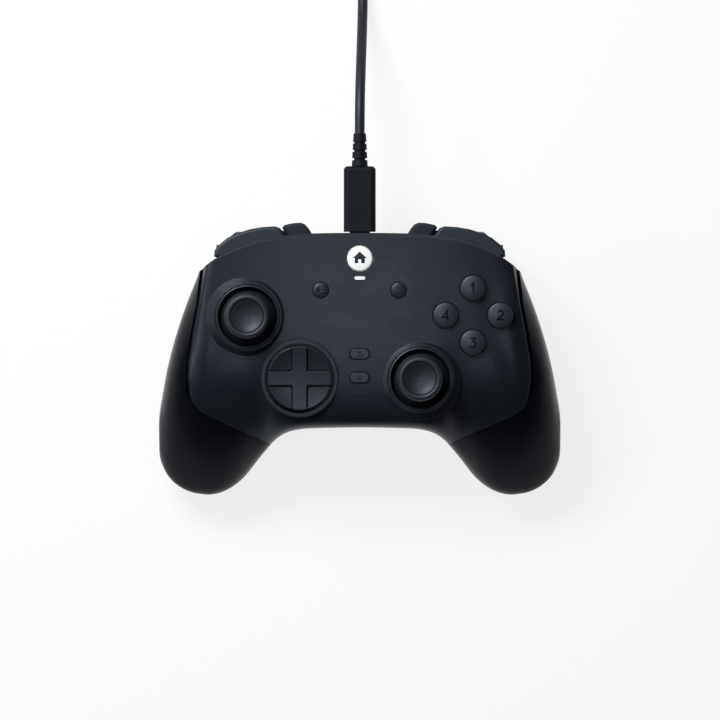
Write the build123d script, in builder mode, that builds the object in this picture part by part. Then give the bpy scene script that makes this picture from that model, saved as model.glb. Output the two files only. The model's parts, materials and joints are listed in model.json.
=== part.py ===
"""A wired game controller with its lead: shells, sticks, pad, buttons, triggers and what they need inside.

Units are millimetres. The face points up along +Z, the lead leaves along +Y, and +X is to the right of the
person who looks at the face. The origin is the middle of the footprint, on the table.
"""

import os
from math import asin, cos, pi, radians, sin, sqrt, tan

from build123d import *

# driving dimensions: the body
half_width = 80.2
front_reach = 53.8
back_reach = 49.7
face_height = 51.6
wall = 2.4
inner_gap = 0.4
flank_width = 24.0
face_crown = 1.2
droop = 25.0
belly_height = 20.0
middle_height = 37.0
seam = 0.3
edge_level = 49.9
edge_lean = 45.0
lip_width = 1.6
notch_width = 1.2

# driving dimensions: thumb sticks
stick_pivot_height = 42.0
left_stick_x, left_stick_y = -44.4, 16.7
right_stick_x, right_stick_y = 23.8, -7.9
collar_top_radius = 13.5
collar_base_radius = 16.4
collar_slope = 60.0
collar_height = 52.0
collar_chamfer = 0.3
ring_radius = 13.1
ring_thickness = 0.6
well_radius = 11.6
sleeve_thickness = 0.4
dome_radius = 13.0
dome_thickness = 1.2
dome_angle = 72.0
neck_radius = 5.2
neck_top = 15.2
cap_radius = 8.8
cap_flare = 1.6
cap_height = 20.8
cap_rim_radius = 1.3
dish_radius = 6.2
dish_depth = 1.5
stem_radius = 2.25
stem_height = 17.0
module_width = 15.0
module_height = 8.4
module_wall = 0.8
module_floor = 0.6
rod_radius = 1.2
rod_clearance = 0.06
cross_core = 1.7
lug_offset = 4.2
lug_thickness = 1.6
lug_radius = 1.9
bridge_height = 2.6
bridge_thickness = 1.5
cradle_thickness = 1.2
click_travel = 0.5

# driving dimensions: direction pad
pad_x, pad_y = -23.7, -7.75
pad_collar_radius = 15.3
pad_groove_width, pad_groove_depth = 0.55, 0.5
pad_well_radius = 13.8
pad_radius = 12.6
pad_pivot_height = 45.2
pad_edge_height = 52.6
pad_dish_depth = 1.4
pad_floor = 48.4
arm_width = 5.7
arm_rise = 1.0
arm_edge = 0.6
arm_draft = 5.0
pad_lug_offset = 6.0
pad_leg_offset, pad_leg_radius, pad_leg_length = 9.5, 1.2, 9.0

# driving dimensions: buttons
action_x, action_y = 44.7, 17.1
action_offset = 10.75
action_radius = 5.0
action_gap = 0.35
action_height = 53.7
action_dome = 1.1
action_travel = 0.8
small_x, small_y = 15.4, 27.0
small_radius = 3.1
small_gap = 0.3
small_height = 52.3
small_travel = 0.6
home_y = 39.6
home_radius = 4.95
home_gap = 0.35
home_height = 52.2
status_y = 31.9
status_length, status_width = 4.2, 1.2
pill_length, pill_width = 7.7, 4.1
pill_gap = 0.3
upper_pill_y, lower_pill_y = 1.85, -7.5
pill_height = 52.2
flange_width = 1.1
flange_thickness = 1.0
flange_drop = 0.35
button_round = 0.4
foot_radius = 1.5
switch_slack = 0.3
key_switch_height = 3.0
low_switch_height = 2.0
inner_sag = 0.15
status_sink = 0.5

# driving dimensions: shoulders
bay_floor = 36.0
bay_ceiling = 47.0
bay_inner_x = 18.2
bay_outer_x = 58.4
shelf_height = 38.6
shelf_thickness = 0.9
trigger_bay_inner_x = 30.4
trigger_bay_outer_x = 57.4
bumper_base = 39.9
bumper_top = 46.6
bumper_round = 1.2
bumper_hinge_x, bumper_hinge_y = 33.0, 40.2
bumper_hinge_radius = 1.25
claw_base = 40.0
trigger_inner_x, trigger_outer_x = 31.6, 55.0
trigger_pivot_y, trigger_pivot_z = 42.5, 34.5
trigger_hub_radius = 3.2
trigger_pin_radius = 1.25
trigger_wall = 2.0
tip_thickness = 1.6
frame_wall = 2.0
frame_back = 0.6
frame_clear = 1.0
frame_bottom = 27.0
frame_inner_x, frame_outer_x = 17.0, 54.0
shelf_reach_y = 44.0
lug_plate = 1.4
frame_lug_radius = 2.56
claw_stem_x = 24.0
claw_stem_width, claw_stem_height = 4.0, 3.0

# driving dimensions: rear controls
paddle_length, paddle_width = 14.0, 7.0
paddle_x = 20.0
upper_paddle_y, lower_paddle_y = 7.0, -4.0
paddle_gap = 0.4
paddle_proud = 1.4
paddle_round = 1.2
paddle_flange_gap = 0.5
stop_x, stop_y = 22.0, 26.0
stop_slot_length, stop_slot_width = 11.0, 4.6
stop_length, stop_width = 5.0, 3.8
stop_travel = 5.0
stop_proud = 1.2
stop_groove = 0.5

# driving dimensions: inside
board_base = 34.0
board_thickness = 1.6
board_half_width = 46.0
board_front, board_back = -22.4, 32.5
board_side_front = -14.0
board_notch_x = 34.0
board_neck_x = 4.6
board_margin = 4.5
spacer_y = 9.2
chip_size, chip_thickness = 9.0, 1.1
pad_leg_gap = 1.1
paddle_travel = 0.8
key_board_base = 39.8
switch_size = 3.6
case_share = 0.7
motor_x, motor_y, motor_z = 57.5, -31.0, 17.5
motor_radius = 7.0
motor_length = 13.0
motor_axle_radius = 1.0
weight_radius = 8.2
weight_thickness = 5.0
weight_gap = 1.2
weight_hub_radius = 2.2
weight_cut = 1.5
axle_length = 5.2
saddle_thickness = 2.4
screw_radius = 1.3
screw_hex_radius = 0.9
screw_head_radius = 2.4
screw_head_height = 1.8
boss_radius = 3.6
front_screw_x, front_screw_y = 9.5, -19.0
back_screw_x, back_screw_y = 9.0, 33.0
grip_screw_x, grip_screw_y = 70.0, -26.0
screw_seat, screw_length = 27.5, 13.0
grip_screw_seat, grip_screw_length = 11.0, 15.0

# driving dimensions: sockets and the lead
port_height = 32.2
port_width, port_depth_z = 9.0, 3.3
port_length = 7.5
port_back = 49.3
port_wall = 0.35
tongue_width, tongue_thickness, tongue_length = 6.6, 0.7, 6.4
port_foot_width, port_foot_length = 5.4, 3.0
port_foot_setback = 5.6
jack_height = 30.9
jack_radius = 1.8
jack_sleeve_radius = 2.7
jack_body = 6.2
jack_length = 12.0
jack_mouth_y = -26.4
jack_sleeve_length = 3.6
plug_width, plug_thickness = 12.7, 7.4
plug_length = 26.0
plug_start = 50.4
plug_round = 1.6
plug_corner = 2.2
plug_tongue_reach = 6.0
relief_radius, relief_end_radius = 3.2, 2.5
relief_length = 13.0
relief_groove_radius, relief_groove_width = 2.25, 0.8
relief_grooves = 3
cord_radius = 2.0
cord_level = 2.9
coil_pitch = 4.5
coil_climb_room = 0.7
coil_outer = 37.0
coil_half_turns = 7
coil_layers = 4
coil_y = 214.0
tie_width = 7.0
tie_thickness = 0.8
far_plug_width, far_plug_thickness, far_plug_length = 15.6, 7.6, 27.0
far_shell_width, far_shell_thickness, far_shell_length = 12.0, 4.5, 14.0

# the body's sections: share of half_width, then the front and the back end there as shares of the
# reaches. the back ends lie beyond the plan's edge as far as the grips begin, and are trimmed by
# plan_edge_shares
plan_shares = [
    (0.0, -0.504, 1.5), (0.2, -0.508, 1.5), (0.34, -0.53, 1.49), (0.41, -0.585, 1.48),
    (0.46, -0.665, 1.47), (0.51, -0.757, 1.45), (0.57, -0.87, 1.41), (0.65, -0.965, 1.29),
    (0.73, -1.006, 1.05), (0.79, -1.004, 0.71), (0.845, -0.987, 0.482), (0.9, -0.946, 0.232),
    (0.95, -0.876, -0.06), (0.98, -0.795, -0.31), (0.996, -0.69, -0.5),
]
# the back edge of the plan on the left, from the middle to where the grips begin
plan_edge_shares = [
    (0.0, 1.0), (-0.125, 0.999), (-0.23, 0.996), (-0.3, 0.989), (-0.362, 0.98), (-0.42, 0.969),
    (-0.474, 0.958), (-0.52, 0.938), (-0.567, 0.911), (-0.623, 0.873), (-0.677, 0.829), (-0.718, 0.789),
    (-0.755, 0.745), (-0.805, 0.68), (-0.9, 0.6),
]
# how high the grip's underside and its middle lie, from its end to the shoulder
grip_under_shares = [
    (-1.08, 0.0), (-0.97, -0.034), (-0.82, -0.066), (-0.63, -0.059), (-0.41, 0.01),
    (-0.15, 0.12), (0.15, 0.24), (0.52, 0.365), (0.93, 0.48),
]
grip_middle_shares = [
    (-1.08, 0.27), (-0.82, 0.31), (-0.63, 0.36), (-0.37, 0.46), (-0.15, 0.54),
    (0.15, 0.62), (0.52, 0.7), (0.93, 0.735),
]
section_steps = 16
flank_power = 2.5
# the face falls towards the grips: how much of the way counts across and along, where it starts and how
# far it takes, all as shares of half_width
fall_across_share, fall_along_share = 0.35, 0.94
fall_start_share, fall_span_share = 0.325, 0.575
fall_power = 1.7
crown_reach_share = 0.75
grip_start_share, grip_blend_share = 0.3, 0.275
# the sections are square towards the middle and rounder on the grips
square_power, round_power_drop = 6.0, 3.6
front_round_start_share, front_round_span_share = 0.325, 0.175
back_round_start_share, back_round_span_share = 0.7, 0.15


def between(table, place):
    """The value of a table of (place, value) rows at one place, on straight lines between the rows."""
    if place <= table[0][0]:
        return table[0][1]
    for (low, first), (high, second) in zip(table, table[1:]):
        if place <= high:
            return first + (second - first) * (place - low) / (high - low)
    return table[-1][1]


def eased(share):
    """A share from 0 to 1 that starts and ends softly."""
    share = min(1.0, max(0.0, share))
    return share * share * (3 - 2 * share)


def face_level(x, y):
    """Height of the face over the table: a slight crown, then the fall towards the grips."""
    across = abs(x) / half_width
    along = (fall_across_share * abs(x) - fall_along_share * y) / half_width
    fall = max(0.0, along - fall_start_share) / fall_span_share
    return face_height - face_crown * (across / crown_reach_share) ** 2 - droop * fall ** fall_power


def grip_share(x):
    """0 on the belly, 1 on a grip."""
    return eased((abs(x) / half_width - grip_start_share) / grip_blend_share)


def under_level(x, y):
    """Height of the underside: the belly, blended into the grips."""
    share = grip_share(x)
    return belly_height * (1 - share) + face_height * between(grip_under_shares, y / front_reach) * share


def middle_level(x, y):
    """Height of the line where the upper shells meet the rear shell."""
    share = grip_share(x)
    return middle_height * (1 - share) + face_height * between(grip_middle_shares, y / front_reach) * share


def flank_share(x):
    """How much of its full height the body keeps towards its sides."""
    side = max(0.0, (abs(x) - half_width + flank_width) / flank_width)
    return (1 - side ** flank_power) ** (1 / flank_power)


def section_powers(x_share):
    """How square a section is towards its back and towards its front."""
    front_round = eased((x_share - front_round_start_share) / front_round_span_share)
    back_round = eased((x_share - back_round_start_share) / back_round_span_share)
    return square_power - round_power_drop * back_round, square_power - round_power_drop * front_round


def half_section(row, inset, upper):
    """One curve across the upper or the lower half: its X and its (y, z) points, back to front."""
    x_share, front_share, back_share = row
    x = half_width * x_share
    front = front_reach * front_share + inset
    back = back_reach * back_share - inset
    back_power, front_power = section_powers(x_share)
    centre, reach = (front + back) / 2, (back - front) / 2
    points = []
    for step in range(section_steps + 1):
        turn = pi * step / section_steps
        power = back_power if step < section_steps / 2 else front_power
        across = abs(cos(turn)) ** (2 / power) * (1 if cos(turn) > 0 else -1)
        upward = flank_share(x) * abs(sin(turn)) ** (2 / power)
        y = centre + reach * across
        middle = middle_level(x, y)
        if upper:
            z = middle + (face_level(x, y) - inset - middle) * upward
        else:
            middle -= seam
            z = middle - (middle - under_level(x, y) - inset) * upward
        points.append((y, z))
    flank_start = half_width - flank_width
    if x > flank_start:
        x = flank_start + (x - flank_start) * (flank_width - inset) / flank_width
    return x, points


def fullness(x, y):
    """How much of its full height the hollow inside has at (x, y), by the rounding of the sections."""
    x_share = abs(x) / half_width
    front = front_reach * between([row[:2] for row in plan_shares], x_share) + wall
    back = back_reach * between([row[::2] for row in plan_shares], x_share) - wall
    centre, reach = (front + back) / 2, (back - front) / 2
    across = min(1.0, abs(y - centre) / reach)
    back_power, front_power = section_powers(x_share)
    power = back_power if y > centre else front_power
    return flank_share(x) * (1 - across ** power) ** (1 / power)


def around(x, y, x_reach, y_reach):
    """Eight places on an oval round (x, y)."""
    turns = [pi * step / 4 for step in range(8)]
    return [(x + x_reach * cos(turn), y + y_reach * sin(turn)) for turn in turns]


def inner_roof(x, y, x_reach, y_reach):
    """The highest level that a flat piece of that reach can have under the face at (x, y)."""
    levels = []
    for near_x, near_y in around(x, y, x_reach, y_reach):
        middle = middle_level(near_x, near_y)
        levels.append(middle + (face_level(near_x, near_y) - wall - middle) * fullness(near_x, near_y))
    return min(levels) - inner_sag


def inner_floor(x, y, x_reach, y_reach):
    """The lowest level that a flat piece of that reach can have over the belly at (x, y)."""
    levels = []
    for near_x, near_y in around(x, y, x_reach, y_reach):
        middle = middle_level(near_x, near_y) - seam
        levels.append(middle - (middle - under_level(near_x, near_y) - wall) * fullness(near_x, near_y))
    return max(levels) + inner_sag


def half_body(inset, upper, overlap=0):
    """The upper or the lower half of the body, drawn in by inset and carried past the seam by overlap."""
    left = [(-1, row) for row in reversed(plan_shares[1:])]
    right = [(1, row) for row in plan_shares]
    past = -overlap if upper else overlap
    with BuildPart() as lofted:
        for side, row in left + right:
            x, points = half_section(row, inset, upper)
            (back_y, back_z), (front_y, front_z) = points[0], points[-1]
            with BuildSketch(Plane.YZ.offset(side * x)):
                with BuildLine():
                    Spline(*points)
                    if overlap:
                        corners = [(front_y, front_z + past), (back_y, back_z + past)]
                        Polyline(points[-1], *corners, points[0])
                    else:
                        Line(points[-1], points[0])
                make_face()
        loft()
    return lofted.part


os.makedirs("parts", exist_ok=True)

upper_half = half_body(0, True)
lower_half = half_body(0, False)
upper_hollow = half_body(wall, True, 2 * wall)
lower_hollow = half_body(wall, False, 2 * wall)

# the face's edge line on the left, as shares of half_width and front_reach, from the shoulder to the crotch
edge_line_shares = [
    (-0.78, 1.0), (-0.768, 0.69), (-0.799, 0.43), (-0.83, 0.19), (-0.853, -0.02), (-0.858, -0.14),
    (-0.848, -0.26), (-0.817, -0.34), (-0.78, -0.393), (-0.744, -0.42), (-0.645, -0.49), (-0.53, -0.57),
    (-0.455, -0.625), (-0.42, -0.68), (-0.42, -1.2),
]


def edge_points(offset):
    """The face's edge line on the left, moved sideways by offset."""
    return [(half_width * x - offset, front_reach * y) for x, y in edge_line_shares]


def face_plan(offset):
    """The whole face region, both edge lines joined."""
    left = edge_points(offset)
    right = [(-x, y) for x, y in reversed(left)]
    return left + right


high = 2 * face_height


def trimmed_plan(inset):
    """The body's plan behind which nothing reaches, with room beyond the grips on both sides."""
    left = [(half_width * x, back_reach * y - inset) for x, y in plan_edge_shares]
    far = 2 * half_width
    left += [(-far, left[-1][1]), (-far, -far)]
    right = [(-x, y) for x, y in reversed(left[1:])]
    return left + right


with BuildPart() as face_block:
    with BuildSketch(Plane.XY):
        with BuildLine():
            Polyline(*face_plan(-seam / 2), close=True)
        make_face()
    extrude(amount=high)

with BuildPart() as grip_block:
    with BuildSketch(Plane.XY):
        Rectangle(3 * half_width, 4 * front_reach)
        with BuildLine():
            Polyline(*face_plan(seam / 2), close=True)
        make_face(mode=Mode.SUBTRACT)
        for side in (-1, 1):
            with BuildLine():
                (top_x, top_y), (foot_x, foot_y) = edge_points(0)[1:3]
                Polyline(
                    (-side * top_x, top_y),
                    (-side * (top_x - notch_width), top_y),
                    (-side * (foot_x - seam), foot_y),
                    (-side * foot_x, foot_y),
                    close=True,
                )
            make_face(mode=Mode.SUBTRACT)
    extrude(amount=high)

# up to edge_level the plan's block stands straight, and above it leans in for the face's back edge
with BuildPart() as plan_block:
    with BuildSketch(Plane.XY):
        with BuildLine():
            Polyline(*trimmed_plan(0), close=True)
        make_face()
    extrude(amount=edge_level)
    with BuildSketch(Plane.XY.offset(edge_level)):
        with BuildLine():
            Polyline(*trimmed_plan(0), close=True)
        make_face()
    extrude(amount=face_height - edge_level + wall, taper=edge_lean)

with BuildPart() as inner_plan_block:
    with BuildSketch(Plane.XY):
        with BuildLine():
            Polyline(*trimmed_plan(wall), close=True)
        make_face()
    extrude(amount=high)

# the bays at the shoulders, where bumpers, claw bumpers and triggers sit
with BuildPart() as shoulder_bays:
    for side in (-1, 1):
        middle_x = side * (bay_inner_x + bay_outer_x) / 2
        with BuildSketch(Plane.XY.offset(shelf_height)):
            with Locations((middle_x, bay_floor + back_reach / 2)):
                Rectangle(bay_outer_x - bay_inner_x, back_reach)
        extrude(amount=bay_ceiling - shelf_height)
        middle_x = side * (trigger_bay_inner_x + trigger_bay_outer_x) / 2
        with BuildSketch(Plane.XY):
            with Locations((middle_x, bay_floor + back_reach / 2)):
                Rectangle(trigger_bay_outer_x - trigger_bay_inner_x, back_reach)
        extrude(amount=bay_ceiling)

front_screws = [
    (-front_screw_x, front_screw_y), (front_screw_x, front_screw_y),
    (-back_screw_x, back_screw_y), (back_screw_x, back_screw_y),
]
grip_screws = [(-grip_screw_x, grip_screw_y), (grip_screw_x, grip_screw_y)]

action_places = {
    "north": (action_x, action_y + action_offset),
    "south": (action_x, action_y - action_offset),
    "west": (action_x - action_offset, action_y),
    "east": (action_x + action_offset, action_y),
}

# collars round the sticks and the direction pad, part of the front shell
# the sticks' collars widen downwards, so that they stand wider where the face falls away
cone_height = (collar_base_radius - collar_top_radius) / tan(radians(collar_slope))
with BuildPart() as collars:
    with BuildSketch(Plane.XY.offset(middle_height)):
        with Locations((left_stick_x, left_stick_y), (right_stick_x, right_stick_y)):
            Circle(collar_base_radius)
    extrude(amount=collar_height - cone_height - middle_height)
    with BuildSketch(Plane.XY.offset(collar_height - cone_height)):
        with Locations((left_stick_x, left_stick_y), (right_stick_x, right_stick_y)):
            Circle(collar_base_radius)
    extrude(amount=cone_height, taper=collar_slope)
    with BuildSketch(Plane.XY.offset(middle_height)):
        with Locations((pad_x, pad_y)):
            Circle(pad_collar_radius)
    extrude(amount=collar_height - middle_height)
    pad_rim = collars.edges().filter_by(GeomType.CIRCLE).group_by(Axis.Z)[-1].sort_by(Edge.length)[-1]
    chamfer(pad_rim, collar_chamfer)

# what the shells are hollow by: the inside without the screw bosses
with BuildPart() as upper_core:
    add(upper_hollow)
    add(inner_plan_block.part, mode=Mode.INTERSECT)
    with BuildSketch(Plane.XY):
        with Locations(*front_screws, *grip_screws):
            Circle(boss_radius)
    extrude(amount=high, mode=Mode.SUBTRACT)

# the front shell
with BuildPart() as front_shell:
    add(upper_half)
    add(face_block.part, mode=Mode.INTERSECT)
    add(plan_block.part, mode=Mode.INTERSECT)
    add(collars.part)
    add(shoulder_bays.part, mode=Mode.SUBTRACT)
    add(upper_core.part, mode=Mode.SUBTRACT)
    # wells and button holes
    with BuildSketch(Plane.XY.offset(belly_height)):
        with Locations((left_stick_x, left_stick_y), (right_stick_x, right_stick_y)):
            Circle(well_radius + sleeve_thickness)
        with Locations((pad_x, pad_y)):
            Circle(pad_well_radius)
        with Locations(*action_places.values()):
            Circle(action_radius + action_gap)
        with Locations((-small_x, small_y), (small_x, small_y)):
            Circle(small_radius + small_gap)
        with Locations((0, home_y)):
            Circle(home_radius + home_gap)
        with Locations((0, upper_pill_y), (0, lower_pill_y)):
            SlotOverall(pill_length + 2 * pill_gap, pill_width + 2 * pill_gap)
        with Locations((0, status_y)):
            SlotOverall(status_length, status_width)
    extrude(amount=high, mode=Mode.SUBTRACT)
    # room for the stick caps' domes under the collars
    with Locations(
        (left_stick_x, left_stick_y, stick_pivot_height), (right_stick_x, right_stick_y, stick_pivot_height)
    ):
        Sphere(dome_radius + inner_gap, mode=Mode.SUBTRACT)
    # the groove round the direction pad's collar
    with BuildSketch(Plane.XY.offset(collar_height - collar_chamfer - pad_groove_depth)):
        with Locations((pad_x, pad_y)):
            Circle(pad_collar_radius + pad_groove_width)
            Circle(pad_collar_radius, mode=Mode.SUBTRACT)
    extrude(amount=high, mode=Mode.SUBTRACT)
    # the bevelled lip along both side edges of the face
    shell_edges = front_shell.edges()
    lip_line = edge_points(-seam / 2)[2:7]
    lip_edges = []
    for (first_x, first_y), (last_x, last_y) in zip(lip_line, lip_line[1:]):
        for side in (-1, 1):
            middle = Vector(side * (first_x + last_x) / 2, (first_y + last_y) / 2)
            beside = [
                edge for edge in shell_edges
                if (Vector(edge.center().X, edge.center().Y) - middle).length < inner_gap
            ]
            lip_edges.append(max(beside, key=lambda edge: edge.center().Z))
    chamfer(lip_edges, lip_width)
    # screw holes
    with BuildSketch(Plane.XY.offset(belly_height)):
        with Locations(*front_screws):
            Circle(screw_radius)
    extrude(amount=collar_height - belly_height - 2 * wall, mode=Mode.SUBTRACT)
front_shell.part.label = "front_shell"
export_step(front_shell.part, "parts/front_shell.step")

# the grips' upper panels
with BuildPart() as grips:
    add(upper_half)
    add(grip_block.part, mode=Mode.INTERSECT)
    add(plan_block.part, mode=Mode.INTERSECT)
    add(shoulder_bays.part, mode=Mode.SUBTRACT)
    add(upper_core.part, mode=Mode.SUBTRACT)
    with BuildSketch(Plane.XY):
        with Locations(*grip_screws):
            Circle(screw_radius)
    extrude(amount=grip_screw_seat + grip_screw_length, mode=Mode.SUBTRACT)

with BuildPart() as left_grip_panel:
    add(grips.solids().sort_by(Axis.X)[0])
left_grip_panel.part.label = "left_grip_panel"
export_step(left_grip_panel.part, "parts/left_grip_panel.step")

with BuildPart() as right_grip_panel:
    add(grips.solids().sort_by(Axis.X)[-1])
right_grip_panel.part.label = "right_grip_panel"
export_step(right_grip_panel.part, "parts/right_grip_panel.step")

# the rear shell: belly and undersides of both grips, with screw posts and the motors' saddles
paddle_places = [
    (side * paddle_x, y) for side in (-1, 1) for y in (upper_paddle_y, lower_paddle_y)
]
motor_places = [(-motor_x, motor_y), (motor_x, motor_y)]
with BuildPart() as lower_core:
    add(lower_hollow)
    add(inner_plan_block.part, mode=Mode.INTERSECT)
    with BuildSketch(Plane.XY):
        with Locations(*front_screws, *grip_screws):
            Circle(boss_radius)
    extrude(amount=high, mode=Mode.SUBTRACT)
    for end in (-1, 1):
        with BuildSketch(Plane.XY):
            with Locations(*[(x, y + end * motor_length / 3) for x, y in motor_places]):
                Rectangle(2 * motor_radius + saddle_thickness, saddle_thickness)
        extrude(amount=motor_z, mode=Mode.SUBTRACT)

with BuildPart() as rear_body:
    add(lower_half)
    add(plan_block.part, mode=Mode.INTERSECT)
    add(shoulder_bays.part, mode=Mode.SUBTRACT)
    add(lower_core.part, mode=Mode.SUBTRACT)
    # seats of the motors
    with BuildSketch(Plane.XZ.offset(-motor_y + motor_length)):
        with Locations((-motor_x, motor_z), (motor_x, motor_z)):
            Circle(motor_radius)
    extrude(amount=-2 * motor_length, mode=Mode.SUBTRACT)
    # screw holes and the wells for their heads
    with BuildSketch(Plane.XY):
        with Locations(*front_screws, *grip_screws):
            Circle(screw_radius)
    extrude(amount=high, mode=Mode.SUBTRACT)
    with BuildSketch(Plane.XY.offset(-wall)):
        with Locations(*front_screws):
            Circle(screw_head_radius + seam)
    extrude(amount=screw_seat + wall, mode=Mode.SUBTRACT)
    with BuildSketch(Plane.XY.offset(-wall)):
        with Locations(*grip_screws):
            Circle(screw_head_radius + seam)
    extrude(amount=grip_screw_seat + wall, mode=Mode.SUBTRACT)
    # openings for the back buttons and the trigger stops
    with BuildSketch(Plane.XY):
        with Locations(*paddle_places):
            RectangleRounded(paddle_length + 2 * paddle_gap, paddle_width + 2 * paddle_gap, paddle_round)
        with Locations((-stop_x, stop_y), (stop_x, stop_y)):
            RectangleRounded(stop_slot_length, stop_slot_width, button_round)
    extrude(amount=middle_height - 2 * wall, mode=Mode.SUBTRACT)
    # the hole the lead's plug goes through, and the headset hole in the front edge
    with BuildSketch(Plane.XZ.offset(-back_reach - wall)):
        with Locations((0, port_height)):
            SlotOverall(port_width + 2 * seam, port_depth_z + 2 * seam)
    extrude(amount=4 * wall, mode=Mode.SUBTRACT)
    with BuildSketch(Plane.XZ.offset(front_reach)):
        with Locations((0, jack_height)):
            Circle(jack_sleeve_radius + inner_gap / 2)
    extrude(amount=-front_reach + front_reach / 3, mode=Mode.SUBTRACT)
    with BuildSketch(Plane.XZ.offset(-jack_mouth_y - jack_sleeve_length + inner_gap)):
        with Locations((0, jack_height)):
            Rectangle(jack_body + 2 * inner_gap, jack_body + 2 * inner_gap)
    extrude(amount=-jack_length, mode=Mode.SUBTRACT)

with BuildPart() as rear_shell:
    add(rear_body.solids().sort_by(SortBy.VOLUME)[-1])
rear_shell.part.label = "rear_shell"
export_step(rear_shell.part, "parts/rear_shell.step")


def upright(x, y):
    """A drawing plane that stands on the table through (x, y): X to the right, Z up."""
    return Plane(origin=(x, y, 0), x_dir=(1, 0, 0), z_dir=(0, -1, 0))


def upright_axis(x, y):
    return Axis((x, y, 0), (0, 0, 1))


def dome_level(radius, rise, at):
    """How far a ball's cap of that radius and rise lies under its top at a distance from its middle."""
    ball = (radius ** 2 + rise ** 2) / (2 * rise)
    return ball - sqrt(ball ** 2 - at ** 2)


# rings round the stick wells
def build_ring(name, x, y):
    """The slippery ring a stick's neck rubs on: a sleeve in the well and a flange on the collar."""
    with BuildPart() as ring:
        sleeve_base = face_height - 1.5 * wall
        with BuildSketch(Plane.XY.offset(sleeve_base)):
            with Locations((x, y)):
                Circle(well_radius + sleeve_thickness)
                Circle(well_radius, mode=Mode.SUBTRACT)
        extrude(amount=collar_height - sleeve_base)
        with BuildSketch(Plane.XY.offset(collar_height)):
            with Locations((x, y)):
                Circle(ring_radius)
                Circle(well_radius, mode=Mode.SUBTRACT)
        extrude(amount=ring_thickness)
        rims = ring.edges().filter_by(GeomType.CIRCLE).group_by(Axis.Z)[-1]
        fillet(rims, ring_thickness / 3)
    ring.part.label = name
    export_step(ring.part, f"parts/{name}.step")


# a thumb stick: cap, shaft, gimbal cross, cradle and the module's housing
def build_stick_cap(name, x, y):
    """Rubber cap: a dome round the pivot, a neck and a dished top with a rounded rim."""
    foot = stick_pivot_height
    low_radius = dome_radius * sin(radians(dome_angle))
    low_height = dome_radius * cos(radians(dome_angle))
    inner_radius = dome_radius - dome_thickness
    inner_low_radius = inner_radius * sin(radians(dome_angle))
    inner_low_height = inner_radius * cos(radians(dome_angle))
    shoulder_height = sqrt(dome_radius ** 2 - neck_radius ** 2)
    bore_height = sqrt(inner_radius ** 2 - stem_radius ** 2)
    half_angle = (radians(dome_angle) + asin(neck_radius / dome_radius)) / 2
    dish_edge = foot + cap_height - cap_rim_radius / 2
    half_way = dome_level(dish_radius, dish_depth, dish_radius / 2)
    with BuildPart() as cap:
        with BuildSketch(upright(x, y)):
            with BuildLine():
                Line((stem_radius, foot + stem_height), (stem_radius, foot + bore_height))
                ThreePointArc(
                    (stem_radius, foot + bore_height),
                    (inner_radius * sin(half_angle), foot + inner_radius * cos(half_angle)),
                    (inner_low_radius, foot + inner_low_height),
                )
                Line((inner_low_radius, foot + inner_low_height), (low_radius, foot + low_height))
                ThreePointArc(
                    (low_radius, foot + low_height),
                    (dome_radius * sin(half_angle), foot + dome_radius * cos(half_angle)),
                    (neck_radius, foot + shoulder_height),
                )
                Polyline(
                    (neck_radius, foot + shoulder_height),
                    (neck_radius, foot + neck_top),
                    (cap_radius, foot + neck_top + cap_flare),
                    (cap_radius, foot + cap_height - cap_rim_radius),
                )
                ThreePointArc(
                    (cap_radius, foot + cap_height - cap_rim_radius),
                    (cap_radius - cap_rim_radius, foot + cap_height),
                    (dish_radius, dish_edge),
                )
                ThreePointArc(
                    (dish_radius, dish_edge),
                    (dish_radius / 2, dish_edge - dish_depth + half_way),
                    (0, dish_edge - dish_depth),
                )
                Line((0, dish_edge - dish_depth), (0, foot + stem_height))
                Line((0, foot + stem_height), (stem_radius, foot + stem_height))
            make_face()
        revolve(axis=upright_axis(x, y))
    cap.part.label = name
    export_step(cap.part, f"parts/{name}.step")


def build_stick_shaft(name, x, y):
    """The stem in the cap, and the fork that grips the cross on its Y rod."""
    foot = stick_pivot_height
    with BuildPart() as shaft:
        with BuildSketch(Plane.XY.offset(foot + bridge_height)):
            with Locations((x, y)):
                Rectangle(2 * lug_radius, 2 * lug_offset + lug_thickness)
        extrude(amount=bridge_thickness)
        with BuildSketch(Plane.XY.offset(foot + bridge_height + bridge_thickness)):
            with Locations((x, y)):
                Circle(stem_radius)
        extrude(amount=stem_height - bridge_height - bridge_thickness)
        for side in (-1, 1):
            near = y + side * (lug_offset - lug_thickness / 2)
            with BuildSketch(Plane.XZ.offset(-near)):
                with Locations((x, foot)):
                    Circle(lug_radius)
                with Locations((x, foot + bridge_height / 2 + bridge_thickness / 4)):
                    Rectangle(2 * lug_radius, bridge_height + bridge_thickness / 2)
            extrude(amount=-side * lug_thickness)
        with BuildSketch(Plane.XZ.offset(-y)):
            with Locations((x, foot)):
                Circle(rod_radius + rod_clearance)
        extrude(amount=2 * lug_offset, both=True, mode=Mode.SUBTRACT)
    shaft.part.label = name
    export_step(shaft.part, f"parts/{name}.step")


def build_cross(name, x, y, height, lug):
    """A gimbal cross: one rod along X and one along Y, with a square core."""
    rod_length = 2 * lug + lug_thickness
    with BuildPart() as cross:
        with Locations((x, y, height)):
            Box(2 * cross_core, 2 * cross_core, 2 * cross_core)
            Cylinder(rod_radius, rod_length, rotation=(0, 90, 0))
            Cylinder(rod_radius, rod_length, rotation=(90, 0, 0))
    cross.part.label = name
    export_step(cross.part, f"parts/{name}.step")


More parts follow.
